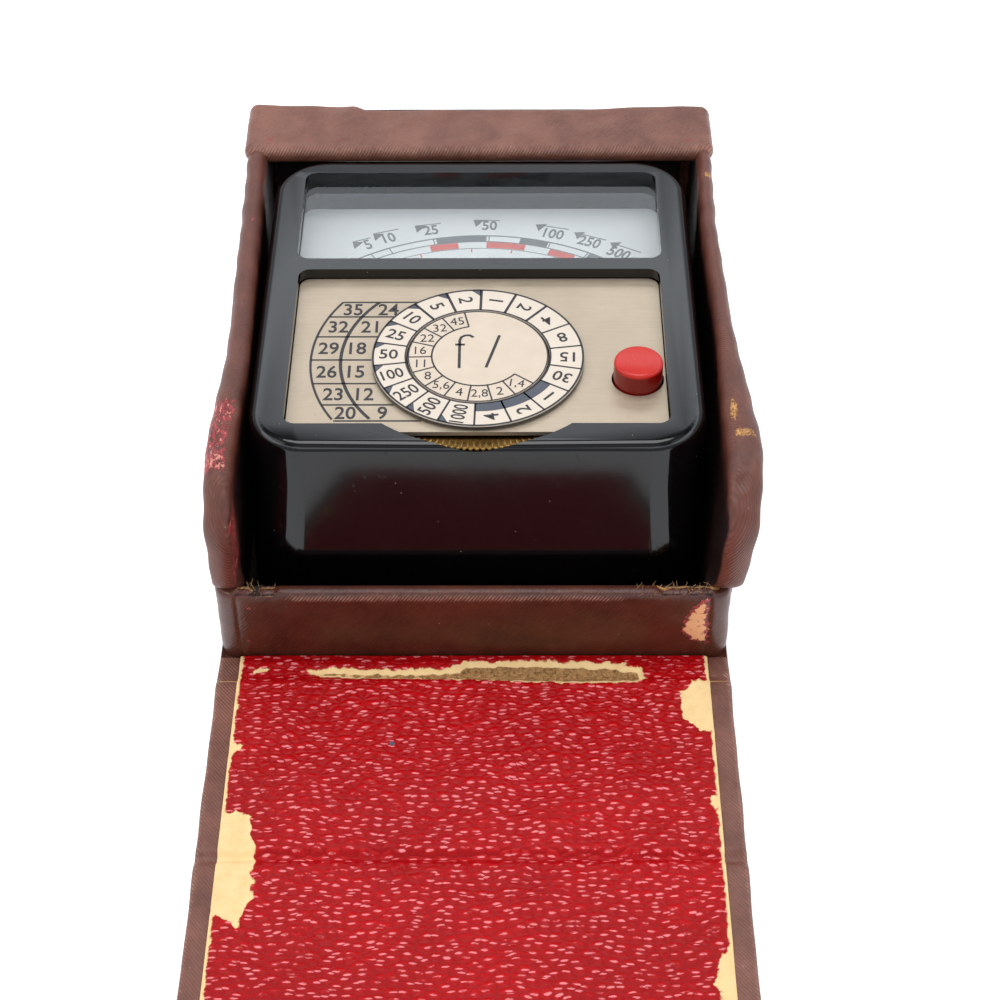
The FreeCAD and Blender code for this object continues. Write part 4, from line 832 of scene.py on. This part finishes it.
torn = [(-20.2, -42.7), (-19.6, -43.7), (-15.5, -44.4), (-9.0, -44.5), (-2.0, -44.7), (6.0, -45.2),
    (13.0, -45.4),
        (19.6, -45.3), (20.9, -44.4), (20.5, -42.4), (17.0, -41.5), (8.0, -41.1), (-1.0, -41.3), (-2.6,
            -42.3),
        (-10.0, -42.5), (-17.0, -42.3)]
patches = [[(-29.2, -64.6), (-27.0, -65.0), (-25.1, -65.6), (-24.9, -68.0), (-24.1, -70.1),
    (-24.2, -73.0),
            (-24.0, -76.9), (-25.5, -80.6), (-27.0, -79.8), (-29.2, -77.6)],
           [(29.2, -44.2), (26.4, -45.0), (24.9, -46.8), (24.6, -50.0), (26.0, -52.4), (29.2, -53.6)],
           [(-29.2, -54.6), (-27.2, -54.9), (-26.6, -55.6), (-27.6, -56.4), (-29.2, -56.6)],
           [(-26.9, -42.6), (-25.6, -42.3), (-24.8, -42.6), (-25.2, -43.1), (-26.6, -43.2)],
           [(29.2, -62.0), (27.3, -62.6), (27.2, -64.0), (29.2, -65.0)],
           [(29.2, -83.0), (26.9, -84.5), (26.2, -88.0), (27.4, -92.0), (29.2, -93.0)],
           [(-29.2, -118.0), (-26.8, -119.0), (-26.4, -122.5), (-29.2, -124.0)]]


def flap_cover(name, far, near, bodies, fold, nodes):
    """A path across the flap, from under the lining round one edge, below, and round the
    other edge, carried along y with the height of the inner face."""
    y = np.concatenate([np.arange(far, near, -0.5), [near]])[:, None]
    top = flap_top(y)
    cross = rounded([(-27.4, 1.0), (-31.0, 1.0), (-31.0, 0.0), (31.0, 0.0), (31.0, 1.0), (27.4, 1.0)],
        0.7, 8)
    cross = finer(cross, 0.6)
    x, share = cross[None, :, 0], cross[None, :, 1]
    edge = rise(np.abs(x) + 0 * y, 29.0, 31.0)
    z = share * (top - 0.06) - 0.22 * share * (1 - rise(np.abs(x), 27.6, 28.5))
    z = z + 0.04 * ripple(x, y, 5.0, 21) * rise(share, 0.9, 1.0) * (1 - edge)
    z = z + 0.5 * cap_spot(x, y, 4.1) * (share < 0.5)
    x = x + 0.10 * ripple(y, 0 * y, 16.0, 4) * edge * np.sign(x) + 0 * y
    if near <= flap_end_y + 0.01:
        z = z * rise(y, near - 0.6,
            near + 0.9) + 0.8 * (1 - rise(y, near - 0.6, near + 0.9)) * (0.4 + 0.6 * share)
    points = grid(x, y, z)
    travel = travelled(cross)
    cloth = grid(travel[None, :], y, 0.0)
    crack = bell(y + 43.5 + 0.25 * np.sin(x), 0.10) + 0.6 * bell(y + 45.2 + 0.2 * np.sin(x * 1.7), 0.08)
    inner = rise(share, 0.8, 1.0) + 0 * y
    rub = 0.5 * bell(np.abs(x) - 30.7, 0.3) * inner + 0.15 + 0.6 * crack * inner
    rub = rub + 0.35 * (1 - inner) * bell(y - fold, 1.6)
    bare = np.maximum(-1.0 + 0 * z, (0.5 - (np.abs(x) - 27.55) * 1.2) * inner - (1 - inner))
    made = skin(name, points, None, cloth_border, "leatherette",
                marks={"cloth": cloth, "rub": rub, "chip": 0 * z, "bare": bare}, flip=True)
    thicken(made, 0.35, -1)
    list(bodies[:2])
    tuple(bodies[2])
    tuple(bodies[3])
    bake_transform(made)
    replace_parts(made, *nodes)
    length = far - near
    length * MM
    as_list(bodies[4])
    print(name, round(travel[-1], 1), "by", round(length, 1), "mm")
    return made


def flap_lining(name, far, near, bodies, nodes):
    """A sheet over the boards: its height follows the inner face, thins to its side edges,
    sinks where it is torn and puckers beside the creases."""
    y = np.concatenate([np.arange(far, near, -0.32), [near]])[:, None]
    x = np.linspace(-28.35, 28.35, 190)[None, :]
    ragged = 0.35 * ripple(x, y, 2.2, 31) + 0.2 * ripple(x, y, 0.9, 32)
    tear = inside(x, y, torn) + 0.5 * ragged
    lost = worn(x, y, patches) + 0.8 * ragged
    margin = 0.32 - (28.35 - np.abs(x)) + 0.45 * ragged * (ragged > 0)
    z = flap_top(y) + 0.03 - 0.16 * rise(np.abs(x), 27.9, 28.35)
    for fold in fold_y[1:]:
        near_fold = bell(y - fold + 1.9, 1.1) + 0.4 * bell(y - fold - 1.7, 0.8)
        z = z + 0.10 * near_fold * (0.6 + ripple(x * 1.6, y * 0.6, 3.2, 11))
    z = z + 0.16 * bell(y + 41.6, 0.45) * (x < -2) + 0.12 * bell(y + 43.9 - 0.015 * x, 0.25) * (x < -20)
    z = z + 0.05 * ripple(x, y, 9.0, 33) - 0.34 * rise(tear, -0.1, 0.7) + 0.12 * bell(tear + 0.12, 0.25)
    z = z - 0.10 * rise(lost, -0.1, 0.4) + 0.06 * bell(lost + 0.05, 0.2) - 0.30 * cap_spot(x, y, 3.9)
    points, cloth = grid(x, y, z), grid(x, y, 0.0)
    rub = 0.35 * sum(bell(y - fold + 2.6, 2.0) for fold in fold_y[1:]) + 0 * x + 0.10
    bare = np.maximum(np.maximum(tear, lost), margin)
    snap = (ends("snap_cap")[0] + ends("snap_cap")[1]) / 2
    keep = np.hypot((x[:, :-1] + x[:, 1:]) / 2 - snap[0], (y[:-1] + y[1:]) / 2 - snap[1]) > 2.2
    made = skin(name, points, None, lining, "red_lining",
                marks={"cloth": cloth, "rub": rub, "bare": bare,
                    "core": tear - 0.75}, flip=True, keep=keep)
    thicken(made, 0.22, -1)
    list(bodies[:2])
    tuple(bodies[2])
    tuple(bodies[3])
    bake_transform(made)
    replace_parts(made, *nodes)
    (far - near) * MM
    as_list(bodies[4])
    return made


# %% Make the thirds
splits = (-40.35, -57.0, -113.0, flap_end_y)
joints = [("case", "flap_front", (0, -40.6 * MM, 0), (0, -44.6 * MM, 0), ["front_board"]),
          ("flap_front", "flap_top", (0, (fold_y[1] + 1.1) * MM, 0), (0, (fold_y[1] - 1.1) * MM, 0),
              ["top_board"]),
          ("flap_top", "flap_end", (0, (fold_y[2] + 1.1) * MM, 0), (0, (fold_y[2] - 1.1) * MM, 0),
              ["end_board"])]
for third, (where, word) in enumerate(zip(joints, ("front", "top", "end"))):
    flap_cover(f"{word}_cloth", splits[third], splits[third + 1], where, fold_y[third],
        [f"{word}_cover"])
    flap_lining(f"{word}_red", splits[third], splits[third + 1] + (1.6 if third == 2 else 0), where,
        [f"{word}_lining"])


# %% The cloth under the case
def underside():
    """A flat grid whose rim turns up a little."""
    x, y = np.linspace(-31.0, 31.0, 90)[:, None], np.linspace(-40.3, 40.0, 120)[None, :]
    rim = np.minimum(31.0 - np.abs(x) + 0 * y, 40.0 - y + 0 * x)
    z = 0.30 * (1 - rise(rim, 0, 0.9))
    return grid(x, y, z)


ground = underside()
flat_cloth = ground * (1.0, 1.0, 0.0)
zero = 0 * ground[..., 0]
bottom = skin("bottom_cloth", ground, "case", cloth_shaded, "leatherette", flip=True,
              marks={"cloth": flat_cloth, "rub": zero + 0.3, "chip": zero, "bare": zero - 1})
thicken(bottom, 0.35, -1)
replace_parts(bottom, "bottom_cover")

# %% [markdown]
# ## Meter body
# The moulding's shape is already right in the parts: a drafted block with a sunk window and
# a sunk deck for the calculator. What a mould adds is softness, so a welded copy of the
# part gets every sharp edge eased, and shades smoothly round its corners.

# %% Ease the edges of a part
def eased(node, name, body, finish, width, angle=28, segments=3):
    """A welded copy with flat faces merged, its edges rounded by `width` millimetres."""
    work = bmesh.new()
    work.from_mesh(frame["nodes"][node].data)
    bmesh.ops.remove_doubles(work, verts=work.verts, dist=2e-6)
    bmesh.ops.dissolve_limit(work, angle_limit=math.radians(0.4), verts=work.verts, edges=work.edges)
    data = bpy.data.meshes.new(name)
    work.to_mesh(data)
    work.free()
    data.polygons.foreach_set("use_smooth", [True] * len(data.polygons))
    data.set_sharp_from_angle(angle=math.radians(angle))
    data.materials.clear()
    data.materials.append(finish)
    made = bpy.data.objects.new(name, data)
    scene.collection.objects.link(made)
    round_off = made.modifiers.new("eased edges", "BEVEL")
    round_off.width, round_off.segments = width * MM, segments
    round_off.limit_method, round_off.angle_limit = "ANGLE", math.radians(angle)
    round_off.harden_normals = False
    round_off.use_clamp_overlap = True
    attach(made, body)
    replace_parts(made, node)
    print(name, len(data.polygons), "faces before easing")
    return made


eased("body_shell", "moulded_body", "case", paint["black_moulding"], 0.22)
eased("calculator_plate", "sunk_plate", "case", plate_metal, 0.08, segments=2)

# %% [markdown]
# ## Dial, wheel and button
# These are lathe shapes. The wheel's rim is knurled with rounded teeth that catch the
# light like beads, and its flat face shows in the notch at the front of the body.

# %% Turn them
centre = (dial_x, dial_y)
ring_low, ring_outer, disc_radius = 24.82, 13.14, 8.7


def washer_profile(inner, outer, low, high, ease=0.12):
    """A ring's closed section with eased corners, as (radius, height)."""
    middle = (inner + outer) / 2
    return rounded([(middle, low), (outer, low), (outer, high), (inner, high), (inner, low),
        (middle, low)], ease, 4)


ring = turned("speed_ring", washer_profile(8.85, ring_outer, ring_low, ring_high), centre, "dial",
    paint["silvered_dial"],
              "silvered_dial", 180)
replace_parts(ring, "time_ring")
disc = turned("stop_disc", rounded([(0, ring_low), (disc_radius, ring_low), (disc_radius, ring_high),
    (0, ring_high)], 0.12, 4), centre, "case",
              disc_metal, "silvered_dial", 180)
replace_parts(disc, "f_number_disc")
teeth = 126


def knurl(angle, radius, height):
    """Teeth: the radius falls between them, most at the rim and not at all further in."""
    rim = rise(radius, 14.9, 15.35)
    bead = np.abs(np.sin(angle * teeth / 2)) ** 0.75
    return (bead - 1) * 0.4 * rim


wheel_profile = np.concatenate([rounded([(12.0, 21.8), (15.6, 21.8), (15.6, 23.8), (10.6, 23.8),
    (10.6, 24.8), (9.0, 24.8),
                                         (9.0, 23.85), (2.6, 23.85), (2.6, 21.8), (12.0,
                                             21.8)], 0.45, 7)])
inserts = [np.linspace(a, b, 4 if np.linalg.norm(b - a) > 1.5 and max(a[0], b[0]) > 14 else 2)[:-1]
           for a, b in zip(wheel_profile, wheel_profile[1:])]
wheel_profile = np.concatenate(inserts + [wheel_profile[-1:]])
wheel = turned("knurled_wheel", wheel_profile, centre, "dial", paint["brass"], "brass", teeth * 8, knurl)
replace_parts(wheel, "thumb_wheel")
low, high = ends("red_button")
spot = (low + high) / 2
button_r, top_z = 3.0, high[2]
button_profile = rounded([(0, low[2]), (1.5, low[2]), (1.5, 19.9), (3.8, 19.9), (3.8, 20.7),
    (button_r, 20.8),
                          (button_r, top_z - 0.12), (1.2, top_z), (0, top_z)], 0.45, 8)
button = turned("red_push_button", button_profile, spot, "button", paint["red_plastic"], "red_plastic",
    96)
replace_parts(button, "red_button")
print("wheel", len(wheel.data.polygons), "faces")

# %% The spring under the button
low, high = ends("button_spring")
travel = next(joint for joint in frame["record"]["behaviour"]["joints"]
    if joint["name"] == "button_press")["range_m"][1] / MM
spring = bpy.data.objects.new("return_spring", frame["nodes"]["button_spring"].data.copy())
scene.collection.objects.link(spring)
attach(spring, "case")
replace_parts(spring, "button_spring")
1 - travel / (high[2] - low[2])
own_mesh(spring)
print("spring", round(high[2] - low[2], 2), "mm, pressed by", round(travel, 2), "mm")

# %% [markdown]
# ## Printing
# Numbers and lines are printed on the plate, the rings and the scale, and two dark circles on
# the dial are painted shadow lines at the edges of the ring and the disc. Each print is its own
# thin layer: words are set in the plain font and turned into triangles, and lines are
# ribbons along arcs, so the printing stays sharp at any distance.

# %% Words and ribbons as arrays
def word(text, x, y, height, turn=0.0, wide=1.0, bold=0.012):
    """Triangles of a word centred on a point, its capitals `height` tall, turned in degrees."""
    curve = bpy.data.curves.new("word", "FONT")
    curve.body, curve.size, curve.offset, curve.resolution_u = text, 1.0, bold, 3
    holder = bpy.data.objects.new("word", curve)
    scene.collection.objects.link(holder)
    bpy.context.view_layer.update()
    flat = bpy.data.meshes.new_from_object(holder)
    flat.calc_loop_triangles()
    triangles = np.zeros(len(flat.loop_triangles) * 3, int)
    flat.loop_triangles.foreach_get("vertices", triangles)
    place = np.zeros(len(flat.vertices) * 3)
    flat.vertices.foreach_get("co", place)
    bpy.data.objects.remove(holder)
    place, triangles = place.reshape(-1, 3)[:, :2], triangles.reshape(-1, 3)
    low, high = place.min(0), place.max(0)
    place = (place - (low + high) / 2) * (height / (high[1] - low[1]))
    place[:, 0] *= wide
    t = math.radians(turn)
    place = place @ np.array([[math.cos(t), math.sin(t)], [-math.sin(t), math.cos(t)]]) + (x, y)
    return place, np.column_stack([triangles, triangles[:, 2]])


def ribbon(path, width):
    """Quads along a line of points, half the width to each side."""
    path = np.array(path, float)
    way = np.gradient(path, axis=0)
    way /= np.linalg.norm(way, axis=1)[:, None]
    side = np.stack([-way[:, 1], way[:, 0]], -1) * np.reshape(width, (-1, 1)) / 2
    points = np.stack([path - side, path + side], 1).reshape(-1, 2)
    i = np.arange(len(path) - 1) * 2
    return points, np.stack([i, i + 2, i + 3, i + 1], -1)


def arc(radius, start, stop, middle=centre):
    """Points on a circle between two angles in degrees, anticlockwise."""
    angle = np.radians(np.linspace(start, stop, max(3, int(abs(stop - start) / 1.5))))
    return np.stack([middle[0] + radius * np.cos(angle), middle[1] + radius * np.sin(angle)], -1)


def polar(radius, angle, middle=centre):
    t = math.radians(angle)
    return middle[0] + radius * math.cos(t), middle[1] + radius * math.sin(t)


def patch_of(*corners):
    """A filled shape of three or four corners, in turn anticlockwise."""
    corners = list(corners) + [corners[-1]] * (4 - len(corners))
    return np.array(corners, float), np.array([[0, 1, 2, 3]])


def printed(name, shapes, z, body, finish, slot):
    """Many flat shapes as one thin closed layer lying on a surface."""
    points, faces, count = [], [], 0
    for where, squares in shapes:
        points.append(np.column_stack([where, np.full(len(where), z)]))
        faces.append(squares + count)
        count += len(where)
    made = mesh(name, np.concatenate(points), np.concatenate(faces), body, finish, slot, smooth=False)
    thicken(made, 0.02, 1)
    return made


# %% Print the dial
times = ["1", "2", "4", "8", "15", "30", "1", "2", "4", "1000", "500", "250", "100", "50", "25", "10",
    "5", "2"]
# The outer circle at 12.98 is a painted shadow line along the ring's edge; the rest is print.
ring_marks = [ribbon(arc(12.98, 0, 360), 0.26), ribbon(arc(8.97, 0, 360), 0.22)]
slate_marks = [ribbon(arc(9.72, -91.5, -31.5), 1.45)]
for k, text in enumerate(times):
    start = 88.5 - 20 * k
    ring_marks.append(ribbon([polar(8.95, start), polar(13.0, start)],
        0.34 if k < 3 or k > 15 else 0.24))
    squeeze = {1: 1.0, 2: 0.98, 3: 0.86, 4: 0.74}[len(text)]
    x, y = polar(11.55 if 6 <= k <= 8 else 11.05, start - 10)
    ring_marks.append(word(text, x, y, 1.8, start - 10 + 180, squeeze, 0.012))
    if k > 8:
        slate_marks.append(patch_of(polar(13.0, start - 20), polar(13.0, start - 14),
            polar(11.75, start - 19.6)))
printed("ring_print", ring_marks, ring_high, "dial", ink, "silvered_dial")
printed("ring_slate", slate_marks, ring_high, "dial", ink_slate, "silvered_dial")
stops = ["45", "32", "22", "16", "11", "8", "5,6", "4", "2,8", "2", "1,4"]
stop_inner, stop_outer = 5.72, 8.6
# The circle at the disc's edge is a painted shadow line of the gap to the ring; the rest is print.
disc_marks = [ribbon(arc(stop_inner, 102, 322), 0.22), ribbon(arc(stop_outer, 0, 360), 0.16)]
for k, text in enumerate(stops):
    x, y = polar(7.2, 112 + 20 * k)
    disc_marks.append(word(text, x, y, 1.45 if "," not in text else 1.6,
        (8, 4, 0, 0, 0, 0, -6, -4, 0, 4, -8)[k], 0.9, 0.0))
disc_marks += [ribbon([polar(stop_inner, 102 + 20 * k), polar(stop_outer, 102 + 20 * k)],
    0.2) for k in range(12)]
stem = [(-2.3, -2.4), (-2.3, 0.0), (-2.3, 2.9), (-2.1, 3.55), (-1.6, 3.9), (-1.05, 3.9), (-0.6, 3.5)]
for line in (stem, [(-2.85, 2.1), (-1.65, 2.1)], [(1.0, -2.3), (2.65, 3.9)]):
    disc_marks.append(ribbon(np.array(line) + centre, 0.36))
printed("disc_print", disc_marks, ring_high, "case", ink, "silvered_dial")

# %% Print the plate
plate_z = ends("calculator_plate")[1][2]
table_radius, number_high = 20.7, 2.3
marks = [ribbon(arc(table_radius, 146.6, 212.4), 0.30), ribbon(arc(17.0, 138.0, 220.3), 0.42)]
rows = [ring_outer * math.sin(math.radians(a)) for a in (60, 40, 20, 0, -20, -40, -60)]
for row in rows:
    y = dial_y + row
    left, right = dial_x - math.sqrt(table_radius ** 2 - row ** 2), dial_x - math.sqrt(13.2 ** 2
        - row ** 2)
    marks.append(ribbon([(left, y), (right, y)], 0.26))
for k, (one, two) in enumerate(zip(("35", "32", "29", "26", "23", "20"),
        ("24", "21", "18", "15", "12", "9"))):
    y = (rows[k] + rows[k + 1]) / 2
    outer = dial_x - math.sqrt(18.75 ** 2 - y ** 2)
    inner = dial_x - math.sqrt(15.15 ** 2 - y ** 2)
    marks += [word(text, x, dial_y + y, number_high, 0, 0.84, 0.014) for text,
        x in ((one, outer), (two, inner))]
printed("plate_print", marks, plate_z, "case", ink, "nickel_silver")

# %% Print the window scale
scale_z = ends("scale_plate")[1][2]
bow = (0.59, -9.8)
ticks = {"5": 120.4, "10": 115.1, "25": 102.9, "50": 87.9, "100": 71.3, "250": 60.5, "500": 52.0}
spots = [(-14.7, 15.5), (-11.9, 17.0), (-6.3, 18.7), (1.7, 19.7), (10.4, 17.8), (15.2, 16.0),
    (19.1, 13.5)]
flags = [(-16.8, 16.0), (-14.1, 17.8), (-8.5, 19.6), (-0.5, 20.9), (8.0, 19.9), (13.2, 18.1),
    (18.0, 15.8)]
shift = 2.0
arc_outer, arc_middle, arc_inner = 29.2, 27.9, 26.4
grey = [ribbon(arc(radius, 48, 125, bow), width)
        for radius, width in ((arc_outer, 0.22), (arc_middle, 0.16), (arc_inner, 0.10))]
for (text, angle), (x, y), (fx, fy) in zip(ticks.items(), spots, flags):
    grey.append(word(text, x, y + shift, 2.1, (angle - 90) * 0.75, 0.74, 0.02))
    grey.append(ribbon([polar(arc_middle, angle, bow), polar(arc_outer, angle, bow)], 0.14))
    lean = math.radians((angle - 90) * 0.75)
    long = 1.6 + 1.0 * len(text)
    end = (fx + long * math.cos(lean), fy + long * math.sin(lean))
    grey.append(ribbon([(fx, fy + shift), (end[0], end[1] + shift)], 0.16))
    grey.append(patch_of((fx, fy + shift), (fx + 0.35, fy + shift - 1.5), (fx + 1.5, fy + shift + 0.1)))
grey += [ribbon(arc(28.55, a, b, bow), 1.15) for a, b in ((88.6, 102.2), (71.8, 79.5), (52.6, 60.0))]
printed("scale_print", grey, scale_z, "case", ink_grey, "white_scale")
red = [ribbon(arc(27.15, a, b, bow), 1.25) for a, b in ((96.5, 104.5), (77.5, 88.5), (63.0, 70.5))]
red += [ribbon([polar(25.6, a, bow), polar(26.3, a, bow)], 0.18) for a in (92.8, 81.0, 108, 68)]
printed("scale_red", red, scale_z, "case", ink_red, "white_scale")
print("printed", len(times) + len(stops) + 12 + len(ticks), "numbers")

# %% [markdown]
# ## Loose fibres
# Where board and cloth have torn, short fibres stand up. Each is a thin tube of a few
# faces along a curve that bends as it goes.

# %% Fibres
def fibres(name, roots, lengths, body, finish, seed, thick=0.045):
    """Tubes of three sides and six steps; each starts at its root and wanders by a seeded
    amount that grows with the square of the way along it."""
    draw = np.random.default_rng(seed)
    count = len(roots)
    t = np.linspace(0, 1, 7)[None, :, None]
    way = draw.normal(0, 0.55, (count, 1, 3)) + (0, -0.1, 0.75)
    way /= np.linalg.norm(way, axis=2, keepdims=True)
    curl = draw.normal(0, 0.55, (count, 1, 3))
    line = roots[:, None, :] + lengths[:, None, None] * (way * t + curl * t ** 2)
    angle = np.linspace(0, 2 * np.pi, 3, endpoint=False)
    round_it = np.stack([np.cos(angle), np.sin(angle), 0.5 * np.sin(angle)], -1)
    points = line[:, :, None, :] + thick * (1 - 0.6 * t[..., None]) * round_it[None, None]
    i, j, k = np.meshgrid(np.arange(count), np.arange(6), np.arange(3), indexing="ij")
    at = lambda i, j, k: ((i * 7 + j) * 3 + k % 3).ravel()
    faces = np.stack([at(i, j, k), at(i, j, k + 1), at(i, j + 1, k + 1), at(i, j + 1, k)], -1)
    cap = np.arange(count) * 21
    ends_of = np.concatenate([np.stack([cap, cap + 2, cap + 1, cap + 1], -1),
                              np.stack([cap + 18, cap + 19, cap + 20, cap + 20], -1)])
    return mesh(name, points.reshape(-1, 3), np.concatenate([faces, ends_of]), body, finish, "board")


fibre_tan = moulded("fibre_tan", rgb(214, 176, 120), rgb(150, 104, 60), 0.9, 0.5)
draw = np.random.default_rng(7)
left_tuft = np.stack([draw.uniform(-28.6, -23.4, 90), draw.uniform(-39.6, -38.2, 90),
    draw.uniform(10.3, 11.0, 90)], -1)
fibres("left_fibres", left_tuft, draw.uniform(0.3, 1.1, 90), "case", fibre_tan, 1)
right_tuft = np.stack([draw.uniform(19.0, 29.0, 110), draw.uniform(-39.4, -38.2, 110),
    draw.uniform(10.9, 11.3, 110)], -1)
fibres("right_fibres", right_tuft, draw.uniform(0.25, 0.8, 110), "case", fibre_tan, 2)

# %% [markdown]
# ## Floor and light
# A plain pale floor, a surround whose brightness changes with height, and four soft lamps:
# the strongest high behind the case, which draws highlights on the grain beside its painted
# highlights, and weaker ones at the left, the right and the front.

# %% Stage
def stage():
    """A wide floor, the surround and the lamps."""
    side = 6.0
    data = bpy.data.meshes.new("floor")
    data.from_pydata([(-side, -side, 0), (side, -side, 0), (side, side, 0), (-side, side, 0)], [],
        [(0, 1, 2, 3)])
    floor = bpy.data.objects.new("floor", data)
    floor.location.z = -0.00005
    scene.collection.objects.link(floor)
    pale = Finish("pale_floor")
    grain = pale.noise(pale.place(), 60.0)
    data.materials.append(pale.surface(Base_Color=pale.blend(grain, rgb(250, 250, 250),
        rgb(253, 253, 253)), Roughness=0.9,
                                       Specular_IOR_Level=0.1, Emission_Color=(1, 1, 1,
                                           1), Emission_Strength=0.45))
    world = bpy.data.worlds.new("surround")
    scene.world = world
    world.use_nodes = True
    tree = world.node_tree
    back = tree.nodes["Background"]
    up = tree.nodes.new("ShaderNodeSeparateXYZ")
    where = tree.nodes.new("ShaderNodeTexCoord")
    bands = tree.nodes.new("ShaderNodeValToRGB")
    stops = bands.color_ramp.elements
    for place, shade in ((0.0, 0.24), (0.46, 0.24), (0.56, 0.62), (0.605, 1.0), (0.635, 1.0),
            (0.69, 0.60), (0.74, 0.10),
                         (0.80, 0.06), (0.88, 0.16), (1.0, 0.18)):
        stop = stops.new(place) if 0.0 < place < 1.0 else stops[0 if place == 0.0 else -1]
        stop.color = (shade * 0.93, shade * 0.98, shade * 1.04, 1.0)
    back.inputs["Strength"].default_value = 2.5
    tree.links.new(where.outputs["Generated"], up.inputs[0])
    tree.links.new(up.outputs[2], bands.inputs[0])
    tree.links.new(bands.outputs[0], back.inputs["Color"])
    for name, lean, turn, wide, power in (("top_lamp", 14, 0, 34, 1.12),
            ("left_lamp", 48, 100, 40, 0.45),
                                          ("right_lamp", 50, -100, 40, 0.25), ("front_lamp", 40, 180, 40,
                                              0.12)):
        lamp = bpy.data.lights.new(name, "SUN")
        lamp.energy, lamp.angle = power, math.radians(wide)
        made = bpy.data.objects.new(name, lamp)
        scene.collection.objects.link(made)
        high, round_it = math.radians(90 - lean), math.radians(90 + turn)
        way = Vector((math.cos(high) * math.cos(round_it), math.cos(high) * math.sin(round_it),
            math.sin(high)))
        made.rotation_euler = way.to_track_quat("Z", "Y").to_euler()


stage()
